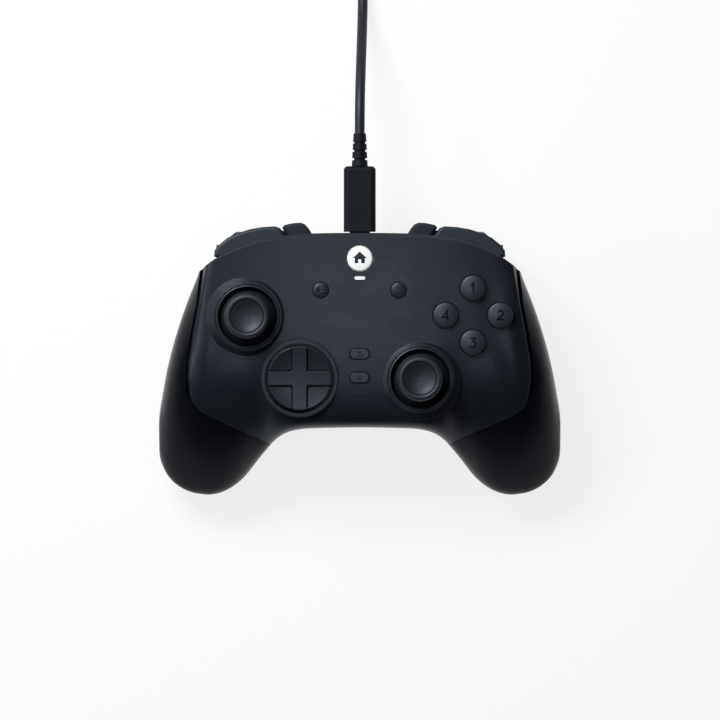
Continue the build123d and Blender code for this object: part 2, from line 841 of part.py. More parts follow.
def build_cradle(name, x, y):
    """The slide in the module that holds the cross on its X rod and goes down with a click."""
    foot = stick_pivot_height
    base = board_base + board_thickness + module_floor + click_travel + module_floor / 4
    half = module_width / 2 - module_wall - inner_gap
    with BuildPart() as cradle:
        with BuildSketch(Plane.XY.offset(base)):
            with Locations((x, y)):
                Rectangle(2 * half, 2 * half)
        extrude(amount=cradle_thickness)
        for side in (-1, 1):
            near = x + side * (lug_offset - lug_thickness / 2)
            with BuildSketch(Plane.YZ.offset(near)):
                with Locations((y, foot)):
                    Circle(lug_radius)
                with Locations((y, (foot + base) / 2)):
                    Rectangle(2 * lug_radius, foot - base)
            extrude(amount=side * lug_thickness)
        with BuildSketch(Plane.YZ.offset(x)):
            with Locations((y, foot)):
                Circle(rod_radius + rod_clearance)
        extrude(amount=2 * lug_offset, both=True, mode=Mode.SUBTRACT)
    cradle.part.label = name
    export_step(cradle.part, f"parts/{name}.step")


def build_module(name, x, y):
    """The module's open box, with the two round position sensors on its sides."""
    base = board_base + board_thickness
    with BuildPart() as module:
        with BuildSketch(Plane.XY.offset(base)):
            with Locations((x, y)):
                Rectangle(module_width, module_width)
        extrude(amount=module_height)
        with BuildSketch(Plane.XY.offset(base + module_floor)):
            with Locations((x, y)):
                Rectangle(module_width - 2 * module_wall, module_width - 2 * module_wall)
        extrude(amount=module_height, mode=Mode.SUBTRACT)
        with BuildSketch(Plane.YZ.offset(x + module_width / 2)):
            with Locations((y, base + module_height / 2)):
                Circle(module_height / 2 - module_floor)
        extrude(amount=2 * module_wall)
        with BuildSketch(Plane.XZ.offset(-y + module_width / 2)):
            with Locations((x, base + module_height / 2)):
                Circle(module_height / 2 - module_floor)
        extrude(amount=2 * module_wall)
    module.part.label = name
    export_step(module.part, f"parts/{name}.step")


for side_name, stick_x, stick_y in (
    ("left", left_stick_x, left_stick_y),
    ("right", right_stick_x, right_stick_y),
):
    build_ring(f"{side_name}_stick_ring", stick_x, stick_y)
    build_stick_cap(f"{side_name}_stick_cap", stick_x, stick_y)
    build_stick_shaft(f"{side_name}_stick_shaft", stick_x, stick_y)
    build_cross(f"{side_name}_stick_cross", stick_x, stick_y, stick_pivot_height, lug_offset)
    build_cradle(f"{side_name}_stick_cradle", stick_x, stick_y)
    build_module(f"{side_name}_stick_module", stick_x, stick_y)

# the direction pad: cap, cross and base
pad_dish_sphere = (pad_radius ** 2 + pad_dish_depth ** 2) / (2 * pad_dish_depth)

# the pad's cross: its arms rise towards their tips and are cut round at the ends
with BuildPart() as arms:
    with BuildSketch(Plane.XY.offset(pad_floor)):
        with Locations((pad_x, pad_y)):
            Rectangle(2 * pad_radius + arm_width, arm_width)
            Rectangle(arm_width, 2 * pad_radius + arm_width)
    extrude(amount=pad_edge_height + arm_rise - pad_floor, taper=arm_draft)
    with BuildSketch(Plane.XY.offset(pad_floor)):
        with Locations((pad_x, pad_y)):
            Circle(pad_radius)
    extrude(amount=high, mode=Mode.INTERSECT)
    with Locations((pad_x, pad_y, pad_edge_height + 2 * pad_dish_sphere)):
        Sphere(2 * pad_dish_sphere, mode=Mode.SUBTRACT)

with BuildPart() as pad_cap:
    with BuildSketch(Plane.XY.offset(pad_floor)):
        with Locations((pad_x, pad_y)):
            Circle(pad_radius)
    extrude(amount=pad_edge_height - pad_floor)
    rim = pad_cap.edges().filter_by(GeomType.CIRCLE).group_by(Axis.Z)[-1]
    chamfer(rim, arm_edge / 2)
    with Locations((pad_x, pad_y, pad_edge_height - pad_dish_depth + pad_dish_sphere)):
        Sphere(pad_dish_sphere, mode=Mode.SUBTRACT)
    add(arms.part)
    # legs over the four switches
    with BuildSketch(Plane.XY.offset(pad_floor)):
        with Locations((pad_x, pad_y)):
            with PolarLocations(pad_leg_offset, 4):
                Circle(pad_leg_radius)
    extrude(amount=-pad_leg_length)
    # lugs on the cross's Y rod
    for side in (-1, 1):
        near = pad_y + side * (pad_lug_offset - lug_thickness / 2)
        with BuildSketch(Plane.XZ.offset(-near)):
            with Locations((pad_x, pad_pivot_height)):
                Circle(lug_radius)
            with Locations((pad_x, (pad_pivot_height + pad_floor + arm_edge) / 2)):
                Rectangle(2 * lug_radius, pad_floor + arm_edge - pad_pivot_height)
        extrude(amount=-side * lug_thickness)
    with BuildSketch(Plane.XZ.offset(-pad_y)):
        with Locations((pad_x, pad_pivot_height)):
            Circle(rod_radius + rod_clearance)
    extrude(amount=2 * pad_lug_offset, both=True, mode=Mode.SUBTRACT)
pad_cap.part.label = "direction_pad_cap"
export_step(pad_cap.part, "parts/direction_pad_cap.step")

build_cross("direction_pad_cross", pad_x, pad_y, pad_pivot_height, pad_lug_offset)

with BuildPart() as pad_base:
    base = board_base + board_thickness
    with BuildSketch(Plane.XY.offset(base)):
        with Locations((pad_x, pad_y)):
            Rectangle(2 * pad_lug_offset + 2 * lug_thickness, 2 * lug_radius + lug_thickness)
    extrude(amount=cradle_thickness)
    for side in (-1, 1):
        near = pad_x + side * (pad_lug_offset - lug_thickness / 2)
        with BuildSketch(Plane.YZ.offset(near)):
            with Locations((pad_y, pad_pivot_height)):
                Circle(lug_radius)
            with Locations((pad_y, (pad_pivot_height + base) / 2)):
                Rectangle(2 * lug_radius, pad_pivot_height - base)
        extrude(amount=side * lug_thickness)
    with BuildSketch(Plane.YZ.offset(pad_x)):
        with Locations((pad_y, pad_pivot_height)):
            Circle(rod_radius + rod_clearance)
    extrude(amount=2 * pad_lug_offset, both=True, mode=Mode.SUBTRACT)
pad_base.part.label = "direction_pad_base"
export_step(pad_base.part, "parts/direction_pad_base.step")


# round buttons
def build_button(name, x, y, radius, top, dome, flange_top, foot_radius, foot):
    """A button: domed cap, flange under the face and a foot over its switch."""
    with BuildPart() as button:
        with BuildSketch(upright(x, y)):
            with BuildLine():
                Polyline(
                    (0, top),
                    (0, foot),
                    (foot_radius, foot),
                    (foot_radius, flange_top - flange_thickness),
                    (radius + flange_width, flange_top - flange_thickness),
                    (radius + flange_width, flange_top),
                    (radius, flange_top),
                    (radius, top - dome),
                    (radius - button_round, top - dome + button_round),
                )
                ThreePointArc(
                    (radius - button_round, top - dome + button_round),
                    (radius / 2, top - dome_level(radius - button_round, dome - button_round, radius / 2)),
                    (0, top),
                )
            make_face()
        revolve(axis=upright_axis(x, y))
    button.part.label = name
    export_step(button.part, f"parts/{name}.step")


def flange_level(x, y, x_reach, y_reach):
    """The level of a key's flange under the face, from the key's own reach on each side."""
    return inner_roof(x, y, x_reach + flange_width, y_reach + flange_width) - flange_drop


switch_top = key_board_base + board_thickness + key_switch_height
for place, (button_x, button_y) in action_places.items():
    build_button(
        f"{place}_button", button_x, button_y, action_radius, action_height, action_dome,
        flange_level(button_x, button_y, action_radius, action_radius), action_radius / 2,
        switch_top + action_travel + switch_slack,
    )

low_switch_top = board_base + board_thickness + low_switch_height
low_foot = low_switch_top + small_travel + switch_slack
for name, side in (("view_button", -1), ("menu_button", 1)):
    build_button(
        name, side * small_x, small_y, small_radius, small_height, 2 * button_round,
        flange_level(small_x, small_y, small_radius, small_radius), foot_radius, low_foot,
    )
build_button(
    "home_button", 0, home_y, home_radius, home_height, 2 * button_round,
    flange_level(0, home_y, home_radius, home_radius), foot_radius, low_foot,
)


def build_pill(name, y):
    """A slot-shaped button in the middle of the face."""
    flange_top = flange_level(0, y, pill_length / 2, pill_width / 2)
    with BuildPart() as pill:
        with BuildSketch(Plane.XY.offset(flange_top - flange_thickness)):
            with Locations((0, y)):
                SlotOverall(pill_length, pill_width)
        extrude(amount=pill_height - flange_top + flange_thickness)
        fillet(pill.faces().sort_by(Axis.Z)[-1].edges(), button_round)
        with BuildSketch(Plane.XY.offset(flange_top - flange_thickness)):
            with Locations((0, y)):
                SlotOverall(pill_length + 2 * flange_width, pill_width + 2 * flange_width)
        extrude(amount=flange_thickness)
        with BuildSketch(Plane.XY.offset(low_foot)):
            with Locations((0, y)):
                Circle(foot_radius)
        extrude(amount=flange_top - low_foot)
    pill.part.label = name
    export_step(pill.part, f"parts/{name}.step")


build_pill("upper_pill_button", upper_pill_y)
build_pill("lower_pill_button", lower_pill_y)

# the status light under the home button
status_base = face_level(0, status_y) - wall - 2 * flange_thickness
with BuildPart() as status_light:
    with BuildSketch(Plane.XY.offset(status_base)):
        with Locations((0, status_y)):
            SlotOverall(status_length, status_width)
    extrude(amount=face_level(0, status_y) - status_base - status_sink)
status_light.part.label = "status_light"
export_step(status_light.part, "parts/status_light.step")


# bumpers: the long keys over the triggers, each on a pin at its inner end
bumper_shares = [
    (-0.718, 0.75), (-0.716, 0.794), (-0.7, 0.83), (-0.651, 0.89), (-0.6, 0.925), (-0.5425, 0.952),
    (-0.48, 0.968), (-0.419, 0.974), (-0.393, 0.96), (-0.3655, 0.905), (-0.3625, 0.86), (-0.3625, 0.7),
    (-0.56, 0.7),
]
claw_shares = [
    (-0.3545, 0.72), (-0.3545, 0.905), (-0.383, 0.962), (-0.372, 0.982), (-0.345, 0.992), (-0.32, 0.998),
    (-0.29, 1.0), (-0.27, 0.988), (-0.253, 0.96), (-0.236, 0.92), (-0.236, 0.72),
]
# the frame's strip under the gap between the two
gap_strip_shares = [
    (-0.345, 0.65), (-0.345, 0.9), (-0.368, 0.945), (-0.4, 0.945), (-0.378, 0.89), (-0.378, 0.65),
]
with BuildPart() as left_bumper:
    with BuildSketch(Plane.XY.offset(bumper_base)):
        with BuildLine():
            Polyline(*[(half_width * x, front_reach * y) for x, y in bumper_shares], close=True)
        make_face()
    extrude(amount=bumper_top - bumper_base)
    outer = left_bumper.faces().sort_by(Axis.Z)
    fillet(outer[-1].edges() + outer[0].edges(), bumper_round)
    with BuildSketch(Plane.XY.offset(bumper_base)):
        with Locations((-bumper_hinge_x, bumper_hinge_y)):
            Circle(bumper_hinge_radius + rod_clearance)
    extrude(amount=high, mode=Mode.SUBTRACT)
left_bumper.part.label = "left_bumper"
export_step(left_bumper.part, "parts/left_bumper.step")

with BuildPart() as right_bumper:
    add(mirror(left_bumper.part, about=Plane.YZ, mode=Mode.PRIVATE))
right_bumper.part.label = "right_bumper"
export_step(right_bumper.part, "parts/right_bumper.step")

# claw bumpers: the short keys between the bumpers and the lead
with BuildPart() as left_claw_bumper:
    with BuildSketch(Plane.XY.offset(claw_base)):
        with BuildLine():
            Polyline(*[(half_width * x, front_reach * y) for x, y in claw_shares], close=True)
        make_face()
    extrude(amount=bumper_top - claw_base)
    outer = left_claw_bumper.faces().sort_by(Axis.Z)
    fillet(outer[-1].edges() + outer[0].edges(), bumper_round)
    with BuildSketch(Plane.XZ.offset(-bay_floor + frame_wall + inner_gap)):
        with Locations((-claw_stem_x, (claw_base + bumper_top) / 2)):
            RectangleRounded(claw_stem_width, claw_stem_height, button_round)
    extrude(amount=-frame_wall * 3)
left_claw_bumper.part.label = "left_claw_bumper"
export_step(left_claw_bumper.part, "parts/left_claw_bumper.step")

with BuildPart() as right_claw_bumper:
    add(mirror(left_claw_bumper.part, about=Plane.YZ, mode=Mode.PRIVATE))
right_claw_bumper.part.label = "right_claw_bumper"
export_step(right_claw_bumper.part, "parts/right_claw_bumper.step")

# triggers: a curved finger face on a hub, hollow behind
trigger_shares = [
    (0.925, 0.735), (0.937, 0.66), (0.905, 0.5), (0.878, 0.35), (0.882, 0.2), (0.915, 0.09), (0.951, 0.045),
]
# the trigger's tip and back, as shares of its tip's thickness, inward from the tip and up from the table
tip_shares = [(0.3, 0.75), (1.6, 0.0), (3.2, 0.55), (4.4, 2.6), (5.1, 6.0)]
trigger_plan_shares = [
    (-0.39, 0.99), (-0.47, 0.97), (-0.525, 0.953), (-0.575, 0.947), (-0.61, 0.936), (-0.64, 0.9),
    (-0.67, 0.855), (-0.69, 0.82), (-0.7, 0.8), (-0.75, 0.6), (-0.39, 0.6),
]
finger_face = [(front_reach * y, face_height * z) for y, z in trigger_shares]
tip_y, tip_z = finger_face[-1]
hub_diagonal = trigger_hub_radius * sqrt(1 / 2)
with BuildPart() as left_trigger:
    with BuildSketch(Plane.YZ.offset(-trigger_outer_x)):
        with BuildLine():
            Spline(*finger_face)
            Spline(
                (tip_y, tip_z),
                *[(tip_y - tip_thickness * y, tip_thickness * z) for y, z in tip_shares],
                (trigger_pivot_y - trigger_hub_radius / 2, trigger_pivot_z - 2 * trigger_hub_radius),
                (trigger_pivot_y - trigger_hub_radius, trigger_pivot_z),
            )
            ThreePointArc(
                (trigger_pivot_y - trigger_hub_radius, trigger_pivot_z),
                (trigger_pivot_y - hub_diagonal, trigger_pivot_z + hub_diagonal),
                (trigger_pivot_y, trigger_pivot_z + trigger_hub_radius),
            )
            Line((trigger_pivot_y, trigger_pivot_z + trigger_hub_radius), finger_face[0])
        make_face()
    extrude(amount=trigger_outer_x - trigger_inner_x)
    # hollow from behind, leaving the finger face, both cheeks and the hub
    with BuildSketch(Plane.YZ.offset(-trigger_outer_x + trigger_wall)):
        with BuildLine():
            inner_face = [(y - trigger_wall, z) for y, z in finger_face[1:-1]]
            Spline(*inner_face)
            Polyline(
                inner_face[-1],
                (inner_face[-1][0] - trigger_wall / 2, inner_face[-1][1] - trigger_wall / 2),
                (trigger_pivot_y - 2 * trigger_hub_radius, inner_face[-1][1]),
                (trigger_pivot_y - 2 * trigger_hub_radius, inner_face[0][1] - 2 * trigger_hub_radius),
                (trigger_pivot_y + trigger_hub_radius, inner_face[0][1] - trigger_hub_radius),
                inner_face[0],
            )
        make_face()
    extrude(amount=trigger_outer_x - trigger_inner_x - 2 * trigger_wall, mode=Mode.SUBTRACT)
    # the outer corner follows the bumper's plan
    with BuildSketch(Plane.XY.offset(-wall)):
        with BuildLine():
            Polyline(*[(half_width * x, front_reach * y) for x, y in trigger_plan_shares], close=True)
        make_face()
    extrude(amount=high, mode=Mode.INTERSECT)
    with BuildSketch(Plane.YZ.offset(-half_width)):
        with Locations((trigger_pivot_y, trigger_pivot_z)):
            Circle(trigger_pin_radius + rod_clearance)
    extrude(amount=half_width, mode=Mode.SUBTRACT)
left_trigger.part.label = "left_trigger"
export_step(left_trigger.part, "parts/left_trigger.step")

with BuildPart() as right_trigger:
    add(mirror(left_trigger.part, about=Plane.YZ, mode=Mode.PRIVATE))
right_trigger.part.label = "right_trigger"
export_step(right_trigger.part, "parts/right_trigger.step")

# the trigger's hinge pins
pin_inner_x = trigger_inner_x - inner_gap - lug_plate
pin_outer_x = trigger_outer_x + inner_gap + lug_plate
with BuildPart() as trigger_pins:
    for side in (-1, 1):
        with BuildSketch(Plane.YZ.offset(side * pin_inner_x)):
            with Locations((trigger_pivot_y, trigger_pivot_z)):
                Circle(trigger_pin_radius)
        extrude(amount=side * (pin_outer_x - pin_inner_x))
trigger_pins.part.label = "trigger_pins"
export_step(trigger_pins.part, "parts/trigger_pins.step")

# shoulder frames: the walls behind bumpers and triggers, with their pins and lugs
with BuildPart() as left_shoulder_frame:
    frame_top = bay_ceiling - frame_clear
    frame_base = frame_bottom
    wall_y = bay_floor - frame_wall / 2 - frame_back
    with BuildSketch(Plane.XY.offset(frame_base)):
        with Locations((-(frame_inner_x + frame_outer_x) / 2, wall_y)):
            Rectangle(frame_outer_x - frame_inner_x, frame_wall)
    extrude(amount=frame_top - frame_base)
    # shelf between bumper and trigger
    with BuildSketch(Plane.XY.offset(shelf_height + seam)):
        with Locations((-(pin_inner_x + pin_outer_x) / 2, (wall_y + shelf_reach_y) / 2)):
            Rectangle(pin_outer_x - pin_inner_x, shelf_reach_y - wall_y)
        with BuildLine():
            Polyline(*[(half_width * x, front_reach * y) for x, y in gap_strip_shares], close=True)
        make_face()
    extrude(amount=shelf_thickness)
    # lugs of the trigger's pin
    for near in (-pin_outer_x, -pin_inner_x - lug_plate):
        with BuildSketch(Plane.YZ.offset(near)):
            with BuildLine():
                Polyline(
                    (wall_y, shelf_height + seam + shelf_thickness / 2),
                    (wall_y, trigger_pivot_z - 2 * trigger_hub_radius),
                    (trigger_pivot_y, trigger_pivot_z - frame_lug_radius),
                    (trigger_pivot_y + frame_lug_radius, trigger_pivot_z),
                    (trigger_pivot_y + frame_lug_radius, shelf_height + seam + shelf_thickness / 2),
                    close=True,
                )
            make_face()
        extrude(amount=lug_plate)
    with BuildSketch(Plane.YZ.offset(-half_width)):
        with Locations((trigger_pivot_y, trigger_pivot_z)):
            Circle(trigger_pin_radius)
    extrude(amount=half_width, mode=Mode.SUBTRACT)
    # the bumper's pin
    with BuildSketch(Plane.XY.offset(shelf_height + seam + shelf_thickness / 2)):
        with Locations((-bumper_hinge_x, bumper_hinge_y)):
            Circle(bumper_hinge_radius)
    extrude(amount=bumper_top - shelf_height - seam)
    # guide of the claw bumper's stem
    with BuildSketch(Plane.XZ.offset(-back_reach)):
        with Locations((-claw_stem_x, (claw_base + bumper_top) / 2)):
            RectangleRounded(claw_stem_width + 2 * seam, claw_stem_height + 2 * seam, button_round)
    extrude(amount=back_reach, mode=Mode.SUBTRACT)
left_shoulder_frame.part.label = "left_shoulder_frame"
export_step(left_shoulder_frame.part, "parts/left_shoulder_frame.step")

with BuildPart() as right_shoulder_frame:
    add(mirror(left_shoulder_frame.part, about=Plane.YZ, mode=Mode.PRIVATE))
right_shoulder_frame.part.label = "right_shoulder_frame"
export_step(right_shoulder_frame.part, "parts/right_shoulder_frame.step")

# back buttons: four keys in the belly
def paddle_flange_base(y):
    """The level of a back button's flange, from the belly's inner side round it."""
    reach_x, reach_y = paddle_length / 2 + flange_width, paddle_width / 2 + flange_width
    return inner_floor(paddle_x, y, reach_x, reach_y) + paddle_flange_gap


def paddle_switch_top(y):
    return paddle_flange_base(y) + flange_thickness + paddle_travel + switch_slack


def build_paddle(name, x, y):
    """A back button: a rounded key that stands proud of the belly, with a flange inside it."""
    flange_length, flange_across = paddle_length + 2 * flange_width, paddle_width + 2 * flange_width
    flange_base = paddle_flange_base(y)
    with BuildPart() as paddle:
        with BuildSketch(Plane.XY.offset(belly_height - paddle_proud)):
            with Locations((x, y)):
                RectangleRounded(paddle_length, paddle_width, paddle_round)
        extrude(amount=flange_base - belly_height + paddle_proud)
        fillet(paddle.faces().sort_by(Axis.Z)[0].edges(), paddle_round / 2)
        with BuildSketch(Plane.XY.offset(flange_base)):
            with Locations((x, y)):
                RectangleRounded(flange_length, flange_across, paddle_round)
        extrude(amount=flange_thickness)
    paddle.part.label = name
    export_step(paddle.part, f"parts/{name}.step")


build_paddle("upper_left_back_button", -paddle_x, upper_paddle_y)
build_paddle("lower_left_back_button", -paddle_x, lower_paddle_y)
build_paddle("upper_right_back_button", paddle_x, upper_paddle_y)
build_paddle("lower_right_back_button", paddle_x, lower_paddle_y)


# trigger stops: two sliders in the belly
def build_stop(name, side):
    """A slider that sets how far a trigger goes: a ribbed knob in its slot and a plate inside."""
    x = side * (stop_x + stop_travel / 2)
    reach_x, reach_y = stop_length / 2 + flange_width + stop_travel, stop_width / 2 + flange_width
    flange_base = inner_floor(stop_x, stop_y, reach_x, reach_y) + paddle_flange_gap
    with BuildPart() as stop:
        with BuildSketch(Plane.XY.offset(belly_height - stop_proud)):
            with Locations((x, stop_y)):
                RectangleRounded(stop_length, stop_width, button_round)
        extrude(amount=flange_base - belly_height + stop_proud)
        with BuildSketch(Plane.XY.offset(belly_height - stop_proud)):
            with Locations((x, stop_y)):
                with GridLocations(stop_length / 3, 0, 3, 1):
                    Rectangle(stop_groove, stop_width)
        extrude(amount=stop_groove, mode=Mode.SUBTRACT)
        with BuildSketch(Plane.XY.offset(flange_base)):
            with Locations((x, stop_y)):
                RectangleRounded(stop_length + 2 * flange_width, stop_width + 2 * flange_width, button_round)
        extrude(amount=flange_thickness)
    stop.part.label = name
    export_step(stop.part, f"parts/{name}.step")


build_stop("left_trigger_stop", -1)
build_stop("right_trigger_stop", 1)

# the boards
board_top = board_base + board_thickness
neck_back = back_reach - wall - inner_gap
with BuildPart() as main_board:
    with BuildSketch(Plane.XY.offset(board_base)):
        with BuildLine():
            Polyline(
                (-board_half_width, board_side_front), (-board_notch_x, board_front),
                (board_notch_x, board_front), (board_half_width, board_side_front),
                (board_half_width, board_back), (board_neck_x, board_back),
                (board_neck_x, neck_back), (-board_neck_x, neck_back),
                (-board_neck_x, board_back), (-board_half_width, board_back),
                close=True,
            )
        make_face()
        with Locations(*front_screws):
            Circle(boss_radius + inner_gap, mode=Mode.SUBTRACT)
    extrude(amount=board_thickness)
main_board.part.label = "main_board"
export_step(main_board.part, "parts/main_board.step")

with BuildPart() as key_board:
    reach = action_offset + board_margin
    with BuildSketch(Plane.XY.offset(key_board_base)):
        with Locations((action_x, action_y)):
            RectangleRounded(2 * reach, 2 * reach, board_margin)
    extrude(amount=board_thickness)
    # spacers that stand on the main board
    with BuildSketch(Plane.XY.offset(board_top)):
        with Locations(
            (action_x - reach + foot_radius, action_y - spacer_y),
            (action_x - reach + foot_radius, action_y + spacer_y),
            (board_half_width - 2 * foot_radius, action_y),
        ):
            Circle(foot_radius)
    extrude(amount=key_board_base - board_top)
    # the four switches under the action buttons
    with BuildSketch(Plane.XY.offset(key_board_base + board_thickness)):
        with Locations(*action_places.values()):
            Rectangle(switch_size, switch_size)
    extrude(amount=key_switch_height * case_share)
    with BuildSketch(Plane.XY.offset(key_board_base + board_thickness)):
        with Locations(*action_places.values()):
            Circle(switch_size / 4)
    extrude(amount=key_switch_height)
key_board.part.label = "key_board"
export_step(key_board.part, "parts/key_board.step")


# chips on the board's underside, as shares of the largest one: X, Y, width and length
chip_shares = [(0.0, -0.5, 1.0, 1.0), (1.6, 1.8, 0.7, 0.5), (-1.6, 1.8, 0.5, 0.6)]
# switches on the main board: under the small keys, under the pad's legs, and over the back buttons
small_places = [
    (-small_x, small_y), (small_x, small_y), (0, home_y), (0, upper_pill_y), (0, lower_pill_y),
]
leg_places = [
    (pad_x + pad_leg_offset * cos(turn * pi / 2), pad_y + pad_leg_offset * sin(turn * pi / 2))
    for turn in range(4)
]
leg_switch_height = pad_floor - pad_leg_length - pad_leg_gap - board_top
with BuildPart() as board_parts:
    for places, base, height in (
        (small_places, board_top, low_switch_height),
        (leg_places, board_top, leg_switch_height),
        (paddle_places[::2], board_base, paddle_switch_top(upper_paddle_y) - board_base),
        (paddle_places[1::2], board_base, paddle_switch_top(lower_paddle_y) - board_base),
    ):
        with BuildSketch(Plane.XY.offset(base)):
            with Locations(*places):
                Rectangle(switch_size, switch_size)
        extrude(amount=height * case_share)
        with BuildSketch(Plane.XY.offset(base)):
            with Locations(*places):
                Circle(switch_size / 4)
        extrude(amount=height)
    # chips on the board's underside
    with BuildSketch(Plane.XY.offset(board_base - chip_thickness)):
        for x, y, width, length in chip_shares:
            with Locations((chip_size * x, chip_size * y)):
                Rectangle(chip_size * width, chip_size * length)
    extrude(amount=chip_thickness)
board_parts.part.label = "board_parts"
export_step(board_parts.part, "parts/board_parts.step")

# sockets
with BuildPart() as usb_socket:
    with BuildSketch(Plane.XZ.offset(-port_back)):
        with Locations((0, port_height)):
            SlotOverall(port_width, port_depth_z)
            SlotOverall(port_width - 2 * port_wall, port_depth_z - 2 * port_wall, mode=Mode.SUBTRACT)
    extrude(amount=port_length)
    with BuildSketch(Plane.XZ.offset(-port_back + port_length)):
        with Locations((0, port_height)):
            SlotOverall(port_width, port_depth_z)
    extrude(amount=port_wall * 2)
    with BuildSketch(Plane.XZ.offset(-port_back + port_length)):
        with Locations((0, port_height)):
            Rectangle(tongue_width, tongue_thickness)
    extrude(amount=-tongue_length)
    with BuildSketch(Plane.XY.offset(port_height)):
        with Locations((0, port_back - port_foot_setback)):
            Rectangle(port_foot_width, port_foot_length)
    extrude(amount=board_base - port_height)
    with BuildSketch(Plane.XZ.offset(-port_back)):
        with Locations((0, port_height)):
            SlotOverall(port_width - 2 * port_wall, port_depth_z - 2 * port_wall)
            Rectangle(tongue_width, tongue_thickness, mode=Mode.SUBTRACT)
    extrude(amount=port_length, mode=Mode.SUBTRACT)
usb_socket.part.label = "usb_socket"
export_step(usb_socket.part, "parts/usb_socket.step")

jack_back = jack_mouth_y + jack_sleeve_length
with BuildPart() as headset_jack:
    with BuildSketch(Plane.XZ.offset(-jack_back)):
        with Locations((0, jack_height)):
            Rectangle(jack_body, 2 * (board_base - jack_height))
    extrude(amount=-jack_length)
    with BuildSketch(Plane.XZ.offset(-jack_mouth_y)):
        with Locations((0, jack_height)):
            Circle(jack_sleeve_radius)
    extrude(amount=-jack_sleeve_length)
    with BuildSketch(Plane.XZ.offset(-jack_mouth_y)):
        with Locations((0, jack_height)):
            Circle(jack_radius)
    extrude(amount=-jack_length, mode=Mode.SUBTRACT)
headset_jack.part.label = "headset_jack"
export_step(headset_jack.part, "parts/headset_jack.step")


# rumble motors and their weights
def build_motor(name, side):
    x = side * motor_x
    with BuildPart() as motor:
        with BuildSketch(Plane.XZ.offset(-motor_y + motor_length / 2)):
            with Locations((x, motor_z)):
                Circle(motor_radius)
        extrude(amount=-motor_length)
        rims = motor.edges().filter_by(GeomType.CIRCLE)
        fillet(rims, button_round)
        with BuildSketch(Plane.XZ.offset(-motor_y - motor_length / 2)):
            with Locations((x, motor_z)):
                Circle(motor_axle_radius)
        extrude(amount=-axle_length)
    motor.part.label = name
    export_step(motor.part, f"parts/{name}.step")


def build_weight(name, side):
    """An eccentric weight on the motor's axle."""
    x = side * motor_x
    start = motor_y + motor_length / 2 + weight_gap
    with BuildPart() as weight:
        with BuildSketch(Plane.XZ.offset(-start)):
            with Locations((x, motor_z)):
                Circle(weight_radius)
            with Locations((x, motor_z + weight_radius / 2 + weight_cut)):
                Rectangle(2 * weight_radius, weight_radius, mode=Mode.SUBTRACT)
            with Locations((x, motor_z)):
                Circle(weight_hub_radius)
                Circle(motor_axle_radius + rod_clearance, mode=Mode.SUBTRACT)
        extrude(amount=-weight_thickness)
    weight.part.label = name
    export_step(weight.part, f"parts/{name}.step")


for side_name, side in (("left", -1), ("right", 1)):
    build_motor(f"{side_name}_rumble_motor", side)
    build_weight(f"{side_name}_motor_weight", side)

# screws that hold the shells together
with BuildPart() as shell_screws:
    for places, seat, length in (
        (front_screws, screw_seat, screw_length),
        (grip_screws, grip_screw_seat, grip_screw_length),
    ):
        with BuildSketch(Plane.XY.offset(seat)):
            with Locations(*places):
                Circle(screw_head_radius)
                RegularPolygon(screw_hex_radius, 6, mode=Mode.SUBTRACT)
        extrude(amount=-screw_head_height)
        with BuildSketch(Plane.XY.offset(seat - screw_head_height / 2)):
            with Locations(*places):
                Circle(screw_radius - rod_clearance)
        extrude(amount=length + screw_head_height / 2)
shell_screws.part.label = "shell_screws"
export_step(shell_screws.part, "parts/shell_screws.step")

# the lead: plug, sleeve, free stretch, coil, tie and far plug
tongue_fit = port_wall + inner_gap / 4
plug_end = plug_start + plug_length
relief_end = plug_end + relief_length
with BuildPart() as lead_plug:
    with BuildSketch(Plane.XZ.offset(-plug_start)):
        with Locations((0, port_height)):
            RectangleRounded(plug_width, plug_thickness, plug_corner)
    extrude(amount=-plug_length)
    fillet(lead_plug.faces().sort_by(Axis.Y)[-1].edges(), plug_round)
    # the metal tongue that goes into the socket
    with BuildSketch(Plane.XZ.offset(-plug_start)):
        with Locations((0, port_height)):
            SlotOverall(port_width - 2 * tongue_fit, port_depth_z - 2 * tongue_fit)
    extrude(amount=plug_start - port_back + plug_tongue_reach)
    with BuildSketch(Plane.XZ.offset(-port_back - port_wall)):
        with Locations((0, port_height)):
            Rectangle(tongue_width + inner_gap, tongue_thickness + inner_gap)
    extrude(amount=port_length, mode=Mode.SUBTRACT)
    # the ribbed sleeve that keeps the cord from bending at the plug
    with BuildSketch(Plane.YZ):
        with BuildLine():
            Polyline(
                (plug_end, port_height),
                (plug_end, port_height + relief_radius),
                (relief_end, port_height + relief_end_radius),
                (relief_end, port_height),
                close=True,
            )
        make_face()
    revolve(axis=Axis((0, 0, port_height), (0, 1, 0)))
    for groove in range(1, relief_grooves + 1):
        groove_y = plug_end + relief_length * groove / (relief_grooves + 1)
        with BuildSketch(Plane.XZ.offset(-groove_y)):
            with Locations((0, port_height)):
                Circle(relief_radius)
                Circle(relief_groove_radius, mode=Mode.SUBTRACT)
        extrude(amount=relief_groove_width, mode=Mode.SUBTRACT)
lead_plug.part.label = "lead_plug"
export_step(lead_plug.part, "parts/lead_plug.step")


run_share = 0.45


def corner_radii(points):
    """The largest safe radius at each corner: its arc takes less than half of the shorter run beside it."""
    radii = []
    for before, corner, after in zip(points, points[1:], points[2:]):
        into = Vector(*corner) - Vector(*before)
        out = Vector(*after) - Vector(*corner)
        half_turn = radians(into.get_angle(out)) / 2
        radii.append(run_share * min(into.length, out.length) / tan(half_turn))
    return radii


def least_gap(wire, count, skip):
    """The least distance between two places of a route that are more than skip of its length apart."""
    places = [wire.position_at(step / count) for step in range(count + 1)]
    apart = int(count * skip)
    least = high
    for first in range(count + 1):
        for second in range(first + apart, count + 1):
            least = min(least, (places[first] - places[second]).length)
    return least


